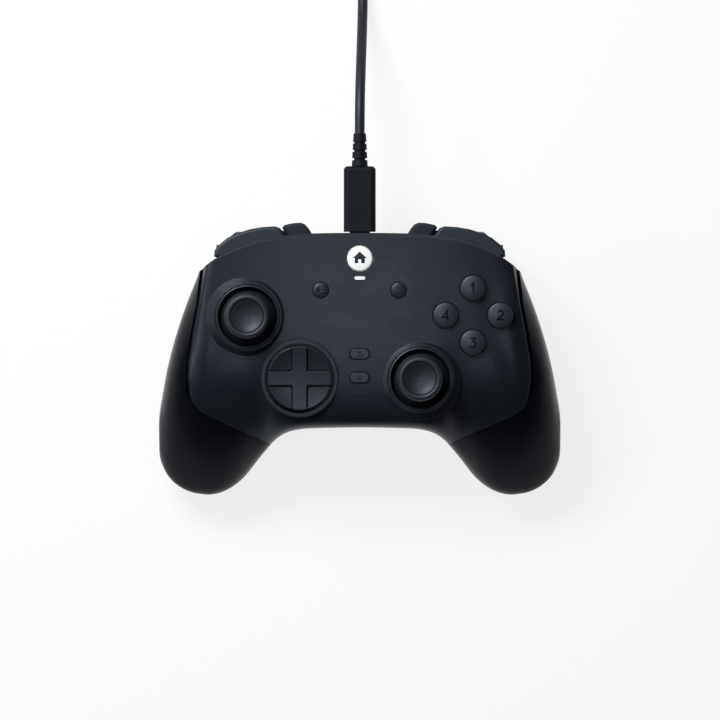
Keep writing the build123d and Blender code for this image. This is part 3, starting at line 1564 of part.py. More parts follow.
# the free stretch falls from the sleeve to the table and runs on to the coil
lead_points = [
    (0, relief_end, port_height),
    (0, 99.5, port_height),
    (0.4, 115.0, 25.0),
    (0.9, 129.0, 13.0),
    (1.3, 145.0, cord_level),
    (0.9, 167.0, cord_level),
    (0, 189.0, cord_level),
    (0, coil_y, cord_level),
]
with BuildPart() as lead_cord:
    with BuildLine():
        lead_route = FilletPolyline(*lead_points, radius=corner_radii(lead_points))
    with BuildSketch(Plane(origin=lead_points[0], z_dir=(0, 1, 0))):
        Circle(cord_radius)
    sweep(path=lead_route)
lead_cord.part.label = "lead_cord"
export_step(lead_cord.part, "parts/lead_cord.step")

# the coil: half circles from side to side, in and out in layers, climbing where it turns back
coil_x = -coil_outer
reach, level, side = coil_outer, cord_level, 1
coil_stops = [(side * reach, level)]
for layer in range(coil_layers):
    outward = 1 if layer % 2 else -1
    last = layer == coil_layers - 1
    half_turns = coil_half_turns + last
    for turn in range(half_turns):
        # beside a climb the turns stand a little wider, so that the climb passes between them
        beside_climb = (turn == 0 and layer > 0) or (turn == half_turns - 1 and not last)
        side, reach = -side, reach + outward * (coil_pitch / 2 + coil_climb_room * beside_climb)
        coil_stops.append((side * reach, level))
    if not last:
        side, level = -side, level + coil_pitch
        coil_stops.append((side * reach, level))
coil_end_x, coil_end_z = coil_x + coil_stops[-1][0], coil_stops[-1][1]

with BuildPart() as lead_coil:
    with BuildLine() as coil_line:
        bulge = 1
        for (start_x, start_z), (end_x, end_z) in zip(coil_stops, coil_stops[1:]):
            span = sqrt((end_x - start_x) ** 2 + (end_z - start_z) ** 2)
            ThreePointArc(
                (coil_x + start_x, coil_y, start_z),
                (coil_x + (start_x + end_x) / 2, coil_y + bulge * span / 2, (start_z + end_z) / 2),
                (coil_x + end_x, coil_y, end_z),
            )
            bulge = -bulge
    coil_route = coil_line.wire()
    with BuildSketch(Plane(origin=lead_points[-1], z_dir=(0, 1, 0))):
        Circle(cord_radius)
    sweep(path=coil_route)
lead_coil.part.label = "lead_coil"
export_step(lead_coil.part, "parts/lead_coil.step")

# the far end: a short tail down to the table and a plug of the common flat kind
tail_points = [
    (coil_end_x, coil_y, coil_end_z),
    (coil_end_x, 225.0, coil_end_z),
    (coil_end_x + 0.5, 238.0, 11.5),
    (coil_end_x + 1.2, 251.0, far_plug_thickness / 2),
    (coil_end_x + 1.2, 262.0, far_plug_thickness / 2),
]
with BuildPart() as lead_tail:
    with BuildLine():
        tail_route = FilletPolyline(*tail_points, radius=corner_radii(tail_points))
    with BuildSketch(Plane(origin=tail_points[0], z_dir=(0, 1, 0))):
        Circle(cord_radius)
    sweep(path=tail_route)
lead_tail.part.label = "lead_tail"
export_step(lead_tail.part, "parts/lead_tail.step")

far_x, far_y, far_z = tail_points[-1]
far_inner_width = far_shell_width - 2 * port_wall
with BuildPart() as far_plug:
    with BuildSketch(Plane.XZ.offset(-far_y)):
        with Locations((far_x, far_z)):
            RectangleRounded(far_plug_width, far_plug_thickness, plug_round)
    extrude(amount=-far_plug_length)
    fillet(far_plug.faces().sort_by(Axis.Y)[0].edges(), plug_round / 2)
    with BuildSketch(Plane.XZ.offset(-far_y - far_plug_length)):
        with Locations((far_x, far_z)):
            Rectangle(far_shell_width, far_shell_thickness)
            Rectangle(far_inner_width, far_shell_thickness - 2 * port_wall, mode=Mode.SUBTRACT)
            with Locations((0, -far_shell_thickness / 4)):
                Rectangle(far_inner_width, far_shell_thickness / 2 - port_wall)
    extrude(amount=-far_shell_length)
far_plug.part.label = "far_plug"
export_step(far_plug.part, "parts/far_plug.step")

# the tie round the coil's bundle, on the side away from the free stretch
tie_reaches = [-x for x, z in coil_stops if x < 0]
tie_left, tie_right = -max(tie_reaches) - cord_radius, -min(tie_reaches) + cord_radius
tie_low, tie_high = cord_level - cord_radius, coil_end_z + cord_radius
tie_inner_width, tie_inner_height = tie_right - tie_left, tie_high - tie_low
with BuildPart() as coil_tie:
    with BuildSketch(Plane.XZ.offset(-coil_y)):
        with Locations((coil_x + (tie_left + tie_right) / 2, (tie_low + tie_high) / 2)):
            RectangleRounded(
                tie_inner_width + 2 * tie_thickness, tie_inner_height + 2 * tie_thickness, cord_radius,
            )
            Rectangle(tie_inner_width, tie_inner_height, mode=Mode.SUBTRACT)
    extrude(amount=tie_width / 2, both=True)
coil_tie.part.label = "coil_tie"
export_step(coil_tie.part, "parts/coil_tie.step")

section = pi * cord_radius ** 2
for tube, route in ((lead_cord, lead_route), (lead_coil, coil_route), (lead_tail, tail_route)):
    print(
        f"{tube.part.label}: {route.length:.0f} mm, volume over section and length",
        f"{tube.part.volume / (section * route.length):.4f}",
    )
print("smallest radii:", [round(min(corner_radii(points)), 1) for points in (lead_points, tail_points)])
print("least gap of the coil to itself:", round(least_gap(coil_route, 1500, 0.02) - 2 * cord_radius, 2))
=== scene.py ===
"""Looks of a wired game controller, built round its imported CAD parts.

The frame is that of the CAD parts: X to the right, Y to the back, Z up from the table. Stage lengths are
in metres. The pieces' outlines are in millimetres and become metres where MM stands.
"""

import json
from math import cos, pi, radians, sin, sqrt

import bmesh
import bpy
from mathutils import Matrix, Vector

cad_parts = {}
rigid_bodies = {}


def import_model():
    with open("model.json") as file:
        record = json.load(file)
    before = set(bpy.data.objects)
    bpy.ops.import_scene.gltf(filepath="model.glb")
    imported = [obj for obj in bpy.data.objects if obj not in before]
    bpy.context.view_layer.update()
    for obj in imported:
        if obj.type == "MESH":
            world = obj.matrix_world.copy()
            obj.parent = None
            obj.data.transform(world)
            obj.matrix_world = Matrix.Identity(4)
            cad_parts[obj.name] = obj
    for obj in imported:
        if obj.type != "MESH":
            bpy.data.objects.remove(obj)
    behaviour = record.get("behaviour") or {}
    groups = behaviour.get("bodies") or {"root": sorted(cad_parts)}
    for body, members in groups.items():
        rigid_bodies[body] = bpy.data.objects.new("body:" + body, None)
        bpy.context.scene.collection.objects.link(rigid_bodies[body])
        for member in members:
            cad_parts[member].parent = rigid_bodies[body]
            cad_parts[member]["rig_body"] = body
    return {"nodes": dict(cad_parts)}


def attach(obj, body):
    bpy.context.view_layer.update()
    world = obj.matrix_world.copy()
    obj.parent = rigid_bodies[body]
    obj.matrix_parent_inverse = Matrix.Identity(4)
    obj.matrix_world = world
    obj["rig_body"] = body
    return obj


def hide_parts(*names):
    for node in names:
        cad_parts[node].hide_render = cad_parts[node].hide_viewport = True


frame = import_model()
nodes = frame["nodes"]

bl_info = {
    "name": "Wired game controller",
    "version": (1, 0, 0),
    "blender": (4, 5, 0),
    "location": "View3D > Sidebar > Controller",
    "description": "Dresses the controller's CAD parts in moulded plastic, rubber and metal",
    "category": "Object",
}

MM = 0.001


# colours and nodes
def linear(hex_colour):
    """An sRGB hex colour as the linear numbers that shaders take."""
    parts = [int(hex_colour[start:start + 2], 16) / 255 for start in (1, 3, 5)]
    return tuple(part / 12.92 if part <= 0.04045 else ((part + 0.055) / 1.055) ** 2.4 for part in parts)


def add_node(tree, kind, sockets=None, **options):
    """Adds one node. options are its own properties, sockets its inputs: values or other nodes' outputs."""
    made = tree.nodes.new(kind)
    for name, value in options.items():
        setattr(made, name, value)
    for name, value in (sockets or {}).items():
        if isinstance(value, bpy.types.NodeSocket):
            tree.links.new(value, made.inputs[name])
        else:
            made.inputs[name].default_value = value
    return made


def per_size(size_mm):
    """The scale at which a texture's features are about that many millimetres wide."""
    return 1 / (size_mm * MM)


def blank_material(name):
    """A material with only its output and its texture coordinates."""
    material = bpy.data.materials.new(name)
    material.use_nodes = True
    tree = material.node_tree
    tree.nodes.clear()
    output = add_node(tree, "ShaderNodeOutputMaterial")
    place = add_node(tree, "ShaderNodeTexCoord").outputs["Object"]
    return material, tree, output, place


# what a dark surface mirrors is tinted slightly blue: a painted cool reflection that stands in for cool
# light, used where no part of the surface's colour is above the limit
PAINTED_COOL_REFLECTION = (*linear("#dde9ff"), 1)
DARK_LIMIT = 0.05
# what all surfaces share, in millimetres: the width of the clouds of colour and of the smudges that
# handling leaves, and the length and width of a drawn line
CLOUD, SMUDGE, LINE_LENGTH, LINE_WIDTH = 30, 9, 14, 0.7
# how much paler than its share a black plastic gets where it is worn
WORN_LIFT = 0.004
# the levels between which most of a noise lies
NOISE_LOW, NOISE_HIGH = 0.3, 0.7
# the Mix node's places for its two colours and for the result
MIX_FIRST, MIX_SECOND, MIX_RESULT = 6, 7, 2


def surface(
    name, base, roughness, grain=0.3, depth=0.012, swing=0.12, rub=0.08, streak=0.0,
    edge=0.0, cell=0.0, cell_depth=0.0, **fixed
):
    """A moulded or pressed surface.

    grain and depth are the width and the height of its fine texture in millimetres, swing how much its
    colour drifts, rub how much handling changes its gloss, streak the depth of a faint drawn line along
    X, edge the radius of its worn edges, and cell and cell_depth the pitch and the depth of a moulded
    grip pattern. fixed holds values that are the same all over and are set on the shader itself.

    The real grains are 0.05 to 0.15 mm wide. They are drawn at 0.25 to 0.8 mm so that they show.
    """
    material, tree, output, place = blank_material(name)
    pale = (*(min(1, part * (1 + swing) + WORN_LIFT * swing) for part in base), 1)
    dark = (*(part * (1 - swing) for part in base), 1)
    drift = add_node(tree, "ShaderNodeTexNoise", {"Vector": place, "Scale": per_size(CLOUD), "Detail": 3.0})
    tint = add_node(
        tree, "ShaderNodeMix", {"Factor": drift.outputs["Fac"], MIX_FIRST: dark, MIX_SECOND: pale},
        data_type="RGBA",
    )
    smudge = add_node(
        tree, "ShaderNodeTexNoise", {"Vector": place, "Scale": per_size(SMUDGE), "Detail": 5.0},
    )
    gloss = add_node(tree, "ShaderNodeMapRange", {
        "Value": smudge.outputs["Fac"], "From Min": NOISE_LOW, "From Max": NOISE_HIGH,
        "To Min": roughness - rub / 2, "To Max": roughness + rub / 2,
    })
    texture = add_node(
        tree, "ShaderNodeTexNoise", {"Vector": place, "Scale": per_size(grain), "Detail": 2.0},
    )
    bump_settings = {"Height": texture.outputs["Fac"], "Strength": 1.0, "Distance": depth * MM}
    if edge:
        rounded = add_node(tree, "ShaderNodeBevel", {"Radius": edge * MM}, samples=4)
        bump_settings["Normal"] = rounded.outputs["Normal"]
    bump = add_node(tree, "ShaderNodeBump", bump_settings)
    if streak:
        drawn = add_node(tree, "ShaderNodeMapping", {
            "Vector": place, "Scale": (per_size(LINE_LENGTH), per_size(LINE_WIDTH), per_size(LINE_LENGTH)),
        })
        lines = add_node(tree, "ShaderNodeTexNoise", {"Vector": drawn.outputs["Vector"], "Scale": 1.0})
        bump = add_node(tree, "ShaderNodeBump", {
            "Height": lines.outputs["Fac"], "Strength": 1.0, "Distance": streak * MM,
            "Normal": bump.outputs["Normal"],
        })
    if cell:
        studs = add_node(tree, "ShaderNodeTexVoronoi", {
            "Vector": place, "Scale": per_size(cell), "Randomness": 0.0,
        })
        bump = add_node(tree, "ShaderNodeBump", {
            "Height": studs.outputs["Distance"], "Strength": 1.0, "Distance": cell_depth * MM,
            "Normal": bump.outputs["Normal"],
        })
    # dark surfaces mirror with a painted cool tint that stands in for cool light
    if max(base) < DARK_LIMIT and not fixed.get("Metallic"):
        fixed["Specular Tint"] = PAINTED_COOL_REFLECTION
    shader = add_node(tree, "ShaderNodeBsdfPrincipled", {
        "Base Color": tint.outputs[MIX_RESULT], "Roughness": gloss.outputs["Result"],
        "Normal": bump.outputs["Normal"], **fixed,
    })
    tree.links.new(shader.outputs["BSDF"], output.inputs["Surface"])
    return material


# meshes
def new_object(name, mesh, body, replaced=(), material=None):
    """Adds a piece that rides on its body, and says which CAD nodes it takes the place of."""
    piece = bpy.data.objects.new(name, mesh)
    bpy.context.scene.collection.objects.link(piece)
    if material:
        mesh.materials.append(material)
    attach(piece, body)
    if replaced:
        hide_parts(*replaced)
    return piece


def smooth(mesh, angle=35):
    """Smooth shading that keeps edges sharper than the angle."""
    mesh.polygons.foreach_set("use_smooth", [True] * len(mesh.polygons))
    mesh.set_sharp_from_angle(angle=radians(angle))


def arc(centre, radius, start, end, steps):
    """Points of an arc in the (radius, height) plane; its angles run from straight up, in degrees."""
    turns = [radians(start + (end - start) * step / steps) for step in range(steps + 1)]
    return [(centre[0] + radius * sin(turn), centre[1] + radius * cos(turn)) for turn in turns]


ON_AXIS = 1e-6


def lathe(name, outline, place, segments, ribs=None, closed=False):
    """A turned mesh from an outline of (radius, height) in millimetres.

    The first and the last point lie on the axis, unless the outline is a closed ring. ribs is (count,
    depth, from height, to height) for a knurled band.
    """
    ring_sets = []
    shape = bmesh.new()
    for radius, height in outline:
        if radius < ON_AXIS:
            ring_sets.append([shape.verts.new((place[0] * MM, place[1] * MM, height * MM))])
            continue
        ring = []
        for step in range(segments):
            turn = 2 * pi * step / segments
            reach = radius
            if ribs and ribs[2] <= height <= ribs[3]:
                reach -= ribs[1] * (0.5 - 0.5 * cos(turn * ribs[0]))
            ring.append(shape.verts.new((
                (place[0] + reach * cos(turn)) * MM, (place[1] + reach * sin(turn)) * MM, height * MM,
            )))
        ring_sets.append(ring)
    pairs = list(zip(ring_sets, ring_sets[1:]))
    if closed:
        pairs.append((ring_sets[-1], ring_sets[0]))
    for lower, upper in pairs:
        for step in range(segments):
            after = (step + 1) % segments
            corners = [lower[step % len(lower)], lower[after % len(lower)]]
            corners += [upper[after % len(upper)], upper[step % len(upper)]]
            unique = list(dict.fromkeys(corners))
            if len(unique) > 2:
                shape.faces.new(unique)
    bmesh.ops.recalc_face_normals(shape, faces=shape.faces)
    mesh = bpy.data.meshes.new(name)
    shape.to_mesh(mesh)
    shape.free()
    smooth(mesh)
    return mesh


# a printed mark in millimetres: how far it stands above its carrier, how thick its mesh is, and how
# finely it is cut so that it follows a dome
MARK_LIFT, MARK_THICKNESS, MARK_PITCH = 0.02, 0.08, 0.35
# in metres: how close points merge, how near a cut takes a point, and a level above the whole object
MERGE_DISTANCE, CUT_DISTANCE, ABOVE_ALL = 1e-6, 1e-7, 0.2


def printed(name, loops, carrier, body, material):
    """A thin printed or inlaid mark: closed loops of points in millimetres, laid on its carrier's top."""
    curve = bpy.data.curves.new(name + "_outline", "CURVE")
    curve.dimensions = "2D"
    curve.fill_mode = "BOTH"
    for loop in loops:
        spline = curve.splines.new("POLY")
        spline.points.add(len(loop) - 1)
        for point, (x, y) in zip(spline.points, loop):
            point.co = (x * MM, y * MM, 0, 1)
        spline.use_cyclic_u = True
    holder = bpy.data.objects.new(name + "_outline", curve)
    bpy.context.scene.collection.objects.link(holder)
    graph = bpy.context.evaluated_depsgraph_get()
    flat = bpy.data.meshes.new_from_object(holder.evaluated_get(graph))
    bpy.data.objects.remove(holder)
    shape = bmesh.new()
    shape.from_mesh(flat)
    bpy.data.meshes.remove(flat)
    bmesh.ops.remove_doubles(shape, verts=shape.verts, dist=MERGE_DISTANCE)
    low = [min(point[axis] for loop in loops for point in loop) for axis in (0, 1)]
    high = [max(point[axis] for loop in loops for point in loop) for axis in (0, 1)]
    for axis in (0, 1):
        count = int((high[axis] - low[axis]) / MARK_PITCH)
        for step in range(1, count + 1):
            cut = [0, 0, 0]
            cut[axis] = (low[axis] + step * MARK_PITCH) * MM
            direction = [0, 0, 0]
            direction[axis] = 1
            bmesh.ops.bisect_plane(
                shape, geom=shape.verts[:] + shape.edges[:] + shape.faces[:], dist=CUT_DISTANCE,
                plane_co=cut, plane_no=direction,
            )
    lower = bmesh.ops.extrude_face_region(shape, geom=shape.faces[:])
    low_verts = {item for item in lower["geom"] if isinstance(item, bmesh.types.BMVert)}
    graph = bpy.context.evaluated_depsgraph_get()
    seat = carrier.evaluated_get(graph)
    for vert in shape.verts:
        found, hit, _, _ = seat.ray_cast(Vector((vert.co.x, vert.co.y, ABOVE_ALL)), Vector((0, 0, -1)))
        if not found:
            raise RuntimeError(f"{name} reaches past {carrier.name}")
        vert.co.z = hit.z + (MARK_LIFT - MARK_THICKNESS if vert in low_verts else MARK_LIFT) * MM
    bmesh.ops.recalc_face_normals(shape, faces=shape.faces)
    mesh = bpy.data.meshes.new(name)
    shape.to_mesh(mesh)
    shape.free()
    return new_object(name, mesh, body, material=material)


CIRCLE_POINTS = 40


def circle(x, y, radius):
    """Points of a circle in the plane."""
    turns = [2 * pi * step / CIRCLE_POINTS for step in range(CIRCLE_POINTS)]
    return [(x + radius * cos(turn), y + radius * sin(turn)) for turn in turns]


def slab(left, front, right, back):
    """The corners of a rectangle."""
    return [(left, front), (right, front), (right, back), (left, back)]


# how far a line's corner may reach out: no further than its half width over this share
MITRE_SHARE = 0.35


def stroke(points, width):
    """The outline of a line of one width through the points, with square ends and mitred corners."""
    left, right = [], []
    for index, (x, y) in enumerate(points):
        before = points[max(index - 1, 0)]
        after = points[min(index + 1, len(points) - 1)]
        ahead = Vector((after[0] - x, after[1] - y))
        behind = Vector((x - before[0], y - before[1]))
        ahead = (ahead if ahead.length else behind).normalized()
        behind = (behind if behind.length else ahead).normalized()
        along = (ahead + behind).normalized()
        reach = width / 2 / max(MITRE_SHARE, along.dot(ahead))
        left.append((x - along.y * reach, y + along.x * reach))
        right.append((x + along.y * reach, y - along.x * reach))
    return left + right[::-1]


def bend(x, y, radius, start, end, steps=14):
    """Points of an arc in the plane, with its angles in degrees from +X."""
    turns = [radians(start + (end - start) * step / steps) for step in range(steps + 1)]
    return [(x + radius * cos(turn), y + radius * sin(turn)) for turn in turns]


# what a user may change, and what every colour has
COLOUR = {"subtype": "COLOR", "size": 3, "min": 0, "max": 1}


class ControllerColours(bpy.types.PropertyGroup):
    """Colours of the controller's surfaces."""
    shell: bpy.props.FloatVectorProperty(
        name="Shell", description="ABS of the front and rear shells", default=linear("#14181e"), **COLOUR,
    )
    grip: bpy.props.FloatVectorProperty(
        name="Grip", description="Soft-touch coat of the grips", default=linear("#06080d"), **COLOUR,
    )
    key: bpy.props.FloatVectorProperty(
        name="Key", description="ABS of buttons, bumpers and triggers", default=linear("#14181d"), **COLOUR,
    )
    action: bpy.props.FloatVectorProperty(
        name="Action buttons", description="ABS of the action buttons", default=linear("#1e2329"), **COLOUR,
    )
    rubber: bpy.props.FloatVectorProperty(
        name="Rubber", description="Silicone rubber of the stick caps", default=linear("#17191d"), **COLOUR,
    )
    home: bpy.props.FloatVectorProperty(
        name="Home button", description="Polycarbonate of the button", default=linear("#f4f5f5"), **COLOUR,
    )
    mark: bpy.props.FloatVectorProperty(
        name="Marks", description="Ink of the numbers and icons", default=linear("#020304"), **COLOUR,
    )
    lead: bpy.props.FloatVectorProperty(
        name="Lead", description="PVC of the lead", default=linear("#0f1115"), **COLOUR,
    )
    plug: bpy.props.FloatVectorProperty(
        name="Plug", description="PVC of the plugs", default=linear("#0b0d11"), **COLOUR,
    )


class ControllerSizes(bpy.types.PropertyGroup):
    """Sizes of the pieces that are drawn finer than their CAD solids."""
    rib_count: bpy.props.IntProperty(
        name="Cap ribs", description="Ribs round each stick cap", default=60, min=12, max=120,
    )
    rib_depth: bpy.props.FloatProperty(
        name="Rib depth", description="Depth of the ribs round a stick cap", unit="LENGTH",
        default=0.16 * MM, min=0, max=0.5 * MM, precision=5,
    )
    arm_groove: bpy.props.FloatProperty(
        name="Arm groove", description="Width of the groove beside the direction pad's arms",
        unit="LENGTH", default=0.4 * MM, min=0.1 * MM, max=1 * MM, precision=5,
    )
    mark_width: bpy.props.FloatProperty(
        name="Mark width", description="Line width of the numbers on the action buttons",
        unit="LENGTH", default=0.66 * MM, min=0.2 * MM, max=1 * MM, precision=5,
    )
    cord_diameter: bpy.props.FloatProperty(
        name="Cord diameter", description="Diameter of the lead", unit="LENGTH",
        default=4 * MM, min=2 * MM, max=6 * MM, precision=5,
    )


class ControllerStage(bpy.types.PropertyGroup):
    """Light and camera of the studio."""
    lens: bpy.props.FloatProperty(
        name="Lens", description="Focal length of the camera in millimetres", default=400, min=50, max=600,
    )
    view_width: bpy.props.FloatProperty(
        name="View width", description="Width of the picture where the controller is widest", unit="LENGTH",
        default=0.2855, min=0.1, max=1,
    )
    key_power: bpy.props.FloatProperty(
        name="Key light", description="Power of the large lamp behind the controller", unit="POWER",
        default=10.5, min=0, max=100,
    )
    top_power: bpy.props.FloatProperty(
        name="Overhead light", description="Power of the small lamp close over the face", unit="POWER",
        default=0.1, min=0, max=10, precision=3,
    )
    side_power: bpy.props.FloatProperty(
        name="Side light", description="Power of the long lamp on the left", unit="POWER",
        default=1.0, min=0, max=100,
    )
    back_power: bpy.props.FloatProperty(
        name="Back light", description="Power of the low lamp that lights the back edges", unit="POWER",
        default=0.5, min=0, max=100,
    )
    paper_glow: bpy.props.FloatProperty(
        name="Paper glow", description="How much of the floor's white doesn't depend on the lamps",
        default=0.82, min=0, max=1, subtype="FACTOR",
    )
    ceiling: bpy.props.FloatProperty(
        name="Ceiling", description="Brightness of the room above the white sweep",
        default=0.05, min=0, max=1,
    )


def settings(group):
    """The scene's colours, sizes or stage values."""
    return getattr(bpy.context.scene, "controller_" + group)


def colour(name):
    """One of the colours that a user may change, as linear numbers."""
    return tuple(getattr(settings("colours"), name))


def body_named(node):
    """The body that carries a CAD node."""
    return nodes[node]["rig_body"]


def pair(name):
    """The left and the right CAD node of one kind."""
    return [f"{side}_{name}" for side in ("left", "right")]


def dress(names, material):
    """Gives CAD nodes their material."""
    for name in names:
        mesh = nodes[name].data
        mesh.materials.clear()
        mesh.materials.append(material)


# stage: the level at which the picture's width counts, and where the camera stands over the table
PICTURE_LEVEL = 0.036
CAMERA_X, CAMERA_Y = 0.0001, -0.0005
# the white sweep in the surroundings: its brightness, the angle above the horizon in degrees at which it
# starts to fade, and the one at which only the dim ceiling is left
SWEEP_LEVEL, SWEEP_END, CEILING_START = 0.7, 2, 9
# each lamp's place, what it is aimed at, its size across and along, and the property with its power
LAMPS = {
    "key": ((-0.38, 0.56, 0.75), (0, 0, 0.03), (0.5, 0.3), "key_power"),
    "overhead": ((-0.006, 0.028, 0.36), (-0.006, 0.028, 0.03), (0.1, 0.06), "top_power"),
    "left_side": ((-0.62, 0.05, 0.5), (0, 0, 0.03), (0.5, 0.12), "side_power"),
    "back_strip": ((0, 0.9, 0.16), (0, 0, 0.05), (0.9, 0.1), "back_power"),
}
# the floor: half its width, and its cells each way
FLOOR_HALF, FLOOR_CELLS = 4, 8
# the paper's mottle: its width in millimetres, much coarser than the fibres so that it shows, and how
# white it is at its darkest and palest
MOTTLE, MOTTLE_DARK, MOTTLE_PALE = 2, 0.9, 0.94


class ControllerAddStage(bpy.types.Operator):
    """Adds the floor, the lamps, the world and the camera"""
    bl_idname = "controller.add_stage"
    bl_label = "Stage"

    def execute(self, context):
        stage = settings("stage")
        scene = context.scene
        scene.view_settings.view_transform = "Standard"
        camera = bpy.data.objects.new("camera", bpy.data.cameras.new("camera"))
        scene.collection.objects.link(camera)
        camera.data.lens = stage.lens
        distance = stage.view_width * stage.lens / camera.data.sensor_width
        camera.location = (CAMERA_X, CAMERA_Y, PICTURE_LEVEL + distance)
        camera.data.clip_start, camera.data.clip_end = 0.05, 50
        scene.camera = camera

        world = bpy.data.worlds.new("studio")
        scene.world = world
        world.use_nodes = True
        tree = world.node_tree
        tree.nodes.clear()
        # a white sweep low all round, and a dim ceiling above it; the camera sees white everywhere
        direction = add_node(tree, "ShaderNodeTexCoord").outputs["Generated"]
        parts = add_node(tree, "ShaderNodeSeparateXYZ", {"Vector": direction})
        height = add_node(tree, "ShaderNodeMapRange", {
            "Value": parts.outputs["Z"],
            "From Min": sin(radians(SWEEP_END)), "From Max": sin(radians(CEILING_START)),
            "To Min": SWEEP_LEVEL, "To Max": stage.ceiling,
        }, interpolation_type="SMOOTHSTEP")
        path = add_node(tree, "ShaderNodeLightPath")
        level = add_node(tree, "ShaderNodeMath", {
            0: height.outputs["Result"], 1: path.outputs["Is Camera Ray"],
        }, operation="MAXIMUM")
        sweep = add_node(tree, "ShaderNodeBackground", {
            "Color": (*linear("#f6f8fc"), 1), "Strength": level.outputs[0],
        })
        output = add_node(tree, "ShaderNodeOutputWorld")
        tree.links.new(sweep.outputs[0], output.inputs["Surface"])

        for name, (place, target, size, power) in LAMPS.items():
            lamp = bpy.data.objects.new(name, bpy.data.lights.new(name, "AREA"))
            scene.collection.objects.link(lamp)
            lamp.data.shape = "RECTANGLE"
            lamp.data.size, lamp.data.size_y = size
            lamp.data.energy = getattr(stage, power)
            lamp.location = place
            lamp.rotation_mode = "QUATERNION"
            lamp.rotation_quaternion = (Vector(target) - Vector(place)).to_track_quat("-Z", "Y")

        shape = bmesh.new()
        bmesh.ops.create_grid(shape, x_segments=FLOOR_CELLS, y_segments=FLOOR_CELLS, size=FLOOR_HALF)
        floor_mesh = bpy.data.meshes.new("floor")
        shape.to_mesh(floor_mesh)
        shape.free()
        floor = bpy.data.objects.new("floor", floor_mesh)
        scene.collection.objects.link(floor)
        # a seamless paper sweep, matt and faintly mottled: the camera sees it nearly white, with its shadow
        material, tree, output, place = blank_material("seamless_paper_matt")
        mottle = add_node(
            tree, "ShaderNodeTexNoise", {"Vector": place, "Scale": per_size(MOTTLE), "Detail": 4.0},
        )
        ramp = add_node(tree, "ShaderNodeMapRange", {
            "Value": mottle.outputs["Fac"], "To Min": MOTTLE_DARK, "To Max": MOTTLE_PALE,
        })
        paper = add_node(tree, "ShaderNodeBsdfDiffuse", {"Color": ramp.outputs["Result"]})
        glow = add_node(tree, "ShaderNodeEmission", {"Color": (1, 1, 1, 1), "Strength": 1.0})
        path = add_node(tree, "ShaderNodeLightPath")
        seen = path.outputs["Is Camera Ray"]
        for kind in ("Is Glossy Ray", "Is Transmission Ray"):
            either = add_node(tree, "ShaderNodeMath", {0: seen, 1: path.outputs[kind]}, operation="MAXIMUM")
            seen = either.outputs[0]
        share = add_node(tree, "ShaderNodeMath", {0: seen, 1: stage.paper_glow}, operation="MULTIPLY")
        both = add_node(tree, "ShaderNodeMixShader", {
            0: share.outputs[0], 1: paper.outputs[0], 2: glow.outputs[0],
        })
        tree.links.new(both.outputs[0], output.inputs["Surface"])
        floor_mesh.materials.append(material)
        return {"FINISHED"}


# lead, in millimetres: the free stretch from the plug down to the table and on to the coil
LEAD_POINTS = [
    (0, 89.4, 32.2), (0, 99.5, 32.2), (0.4, 115, 25), (0.9, 129, 13), (1.3, 145, 2.9), (0.9, 167, 2.9),
    (0, 189, 2.9),
]
# the coil: its middle, its outer reach, the step from turn to turn, and the room beside a climb to the
# next layer
COIL_X, COIL_Y, COIL_OUTER, COIL_PITCH, COIL_CLIMB_ROOM = -37.0, 214.0, 37.0, 4.5, 0.7
# its half turns to a layer, its layers, the lowest one's level, and the control points to a half turn
COIL_HALF_TURNS, COIL_LAYERS, CORD_LEVEL, HALF_TURN_POINTS = 7, 4, 2.9, 6
# the tail: sideways from the coil's end, and down to the far plug
TAIL_STEPS = [(0, 225, 16.4), (0.5, 238, 11.5), (1.2, 251, 3.8), (1.2, 262, 3.8)]


def coil_stops():
    """Where the coil crosses its middle line, from side to side and in and out in layers."""
    reach, level, side = COIL_OUTER, CORD_LEVEL, 1
    stops = [(side * reach, level)]
    for layer in range(COIL_LAYERS):
        outward = 1 if layer % 2 else -1
        last = layer == COIL_LAYERS - 1
        half_turns = COIL_HALF_TURNS + last
        for turn in range(half_turns):
            beside_climb = (turn == 0 and layer > 0) or (turn == half_turns - 1 and not last)
            side, reach = -side, reach + outward * (COIL_PITCH / 2 + COIL_CLIMB_ROOM * beside_climb)
            stops.append((side * reach, level))
        if not last:
            side, level = -side, level + COIL_PITCH
            stops.append((side * reach, level))
    return stops


def lead_route():
    """The control points of the lead: the free stretch, the coil's turns and the tail."""
    route = list(LEAD_POINTS)
    stops = coil_stops()
    # the spline runs a little inside its points, so they stand that much further out
    outward = 1 / cos(pi / 2 / HALF_TURN_POINTS)
    bulge = 1
    for (start_x, start_z), (end_x, end_z) in zip(stops, stops[1:]):
        middle, half_span = (start_x + end_x) / 2, (start_x - end_x) / 2
        for step in range(HALF_TURN_POINTS):
            share = (step + 0.5) / HALF_TURN_POINTS
            turn = pi * share
            route.append((
                COIL_X + middle + half_span * cos(turn) * outward,
                COIL_Y + bulge * abs(half_span) * sin(turn) * outward,
                start_z + (end_z - start_z) * share,
            ))
        bulge = -bulge
    end_x = COIL_X + stops[-1][0]
    route += [(end_x + x, y, z) for x, y, z in TAIL_STEPS]
    return route


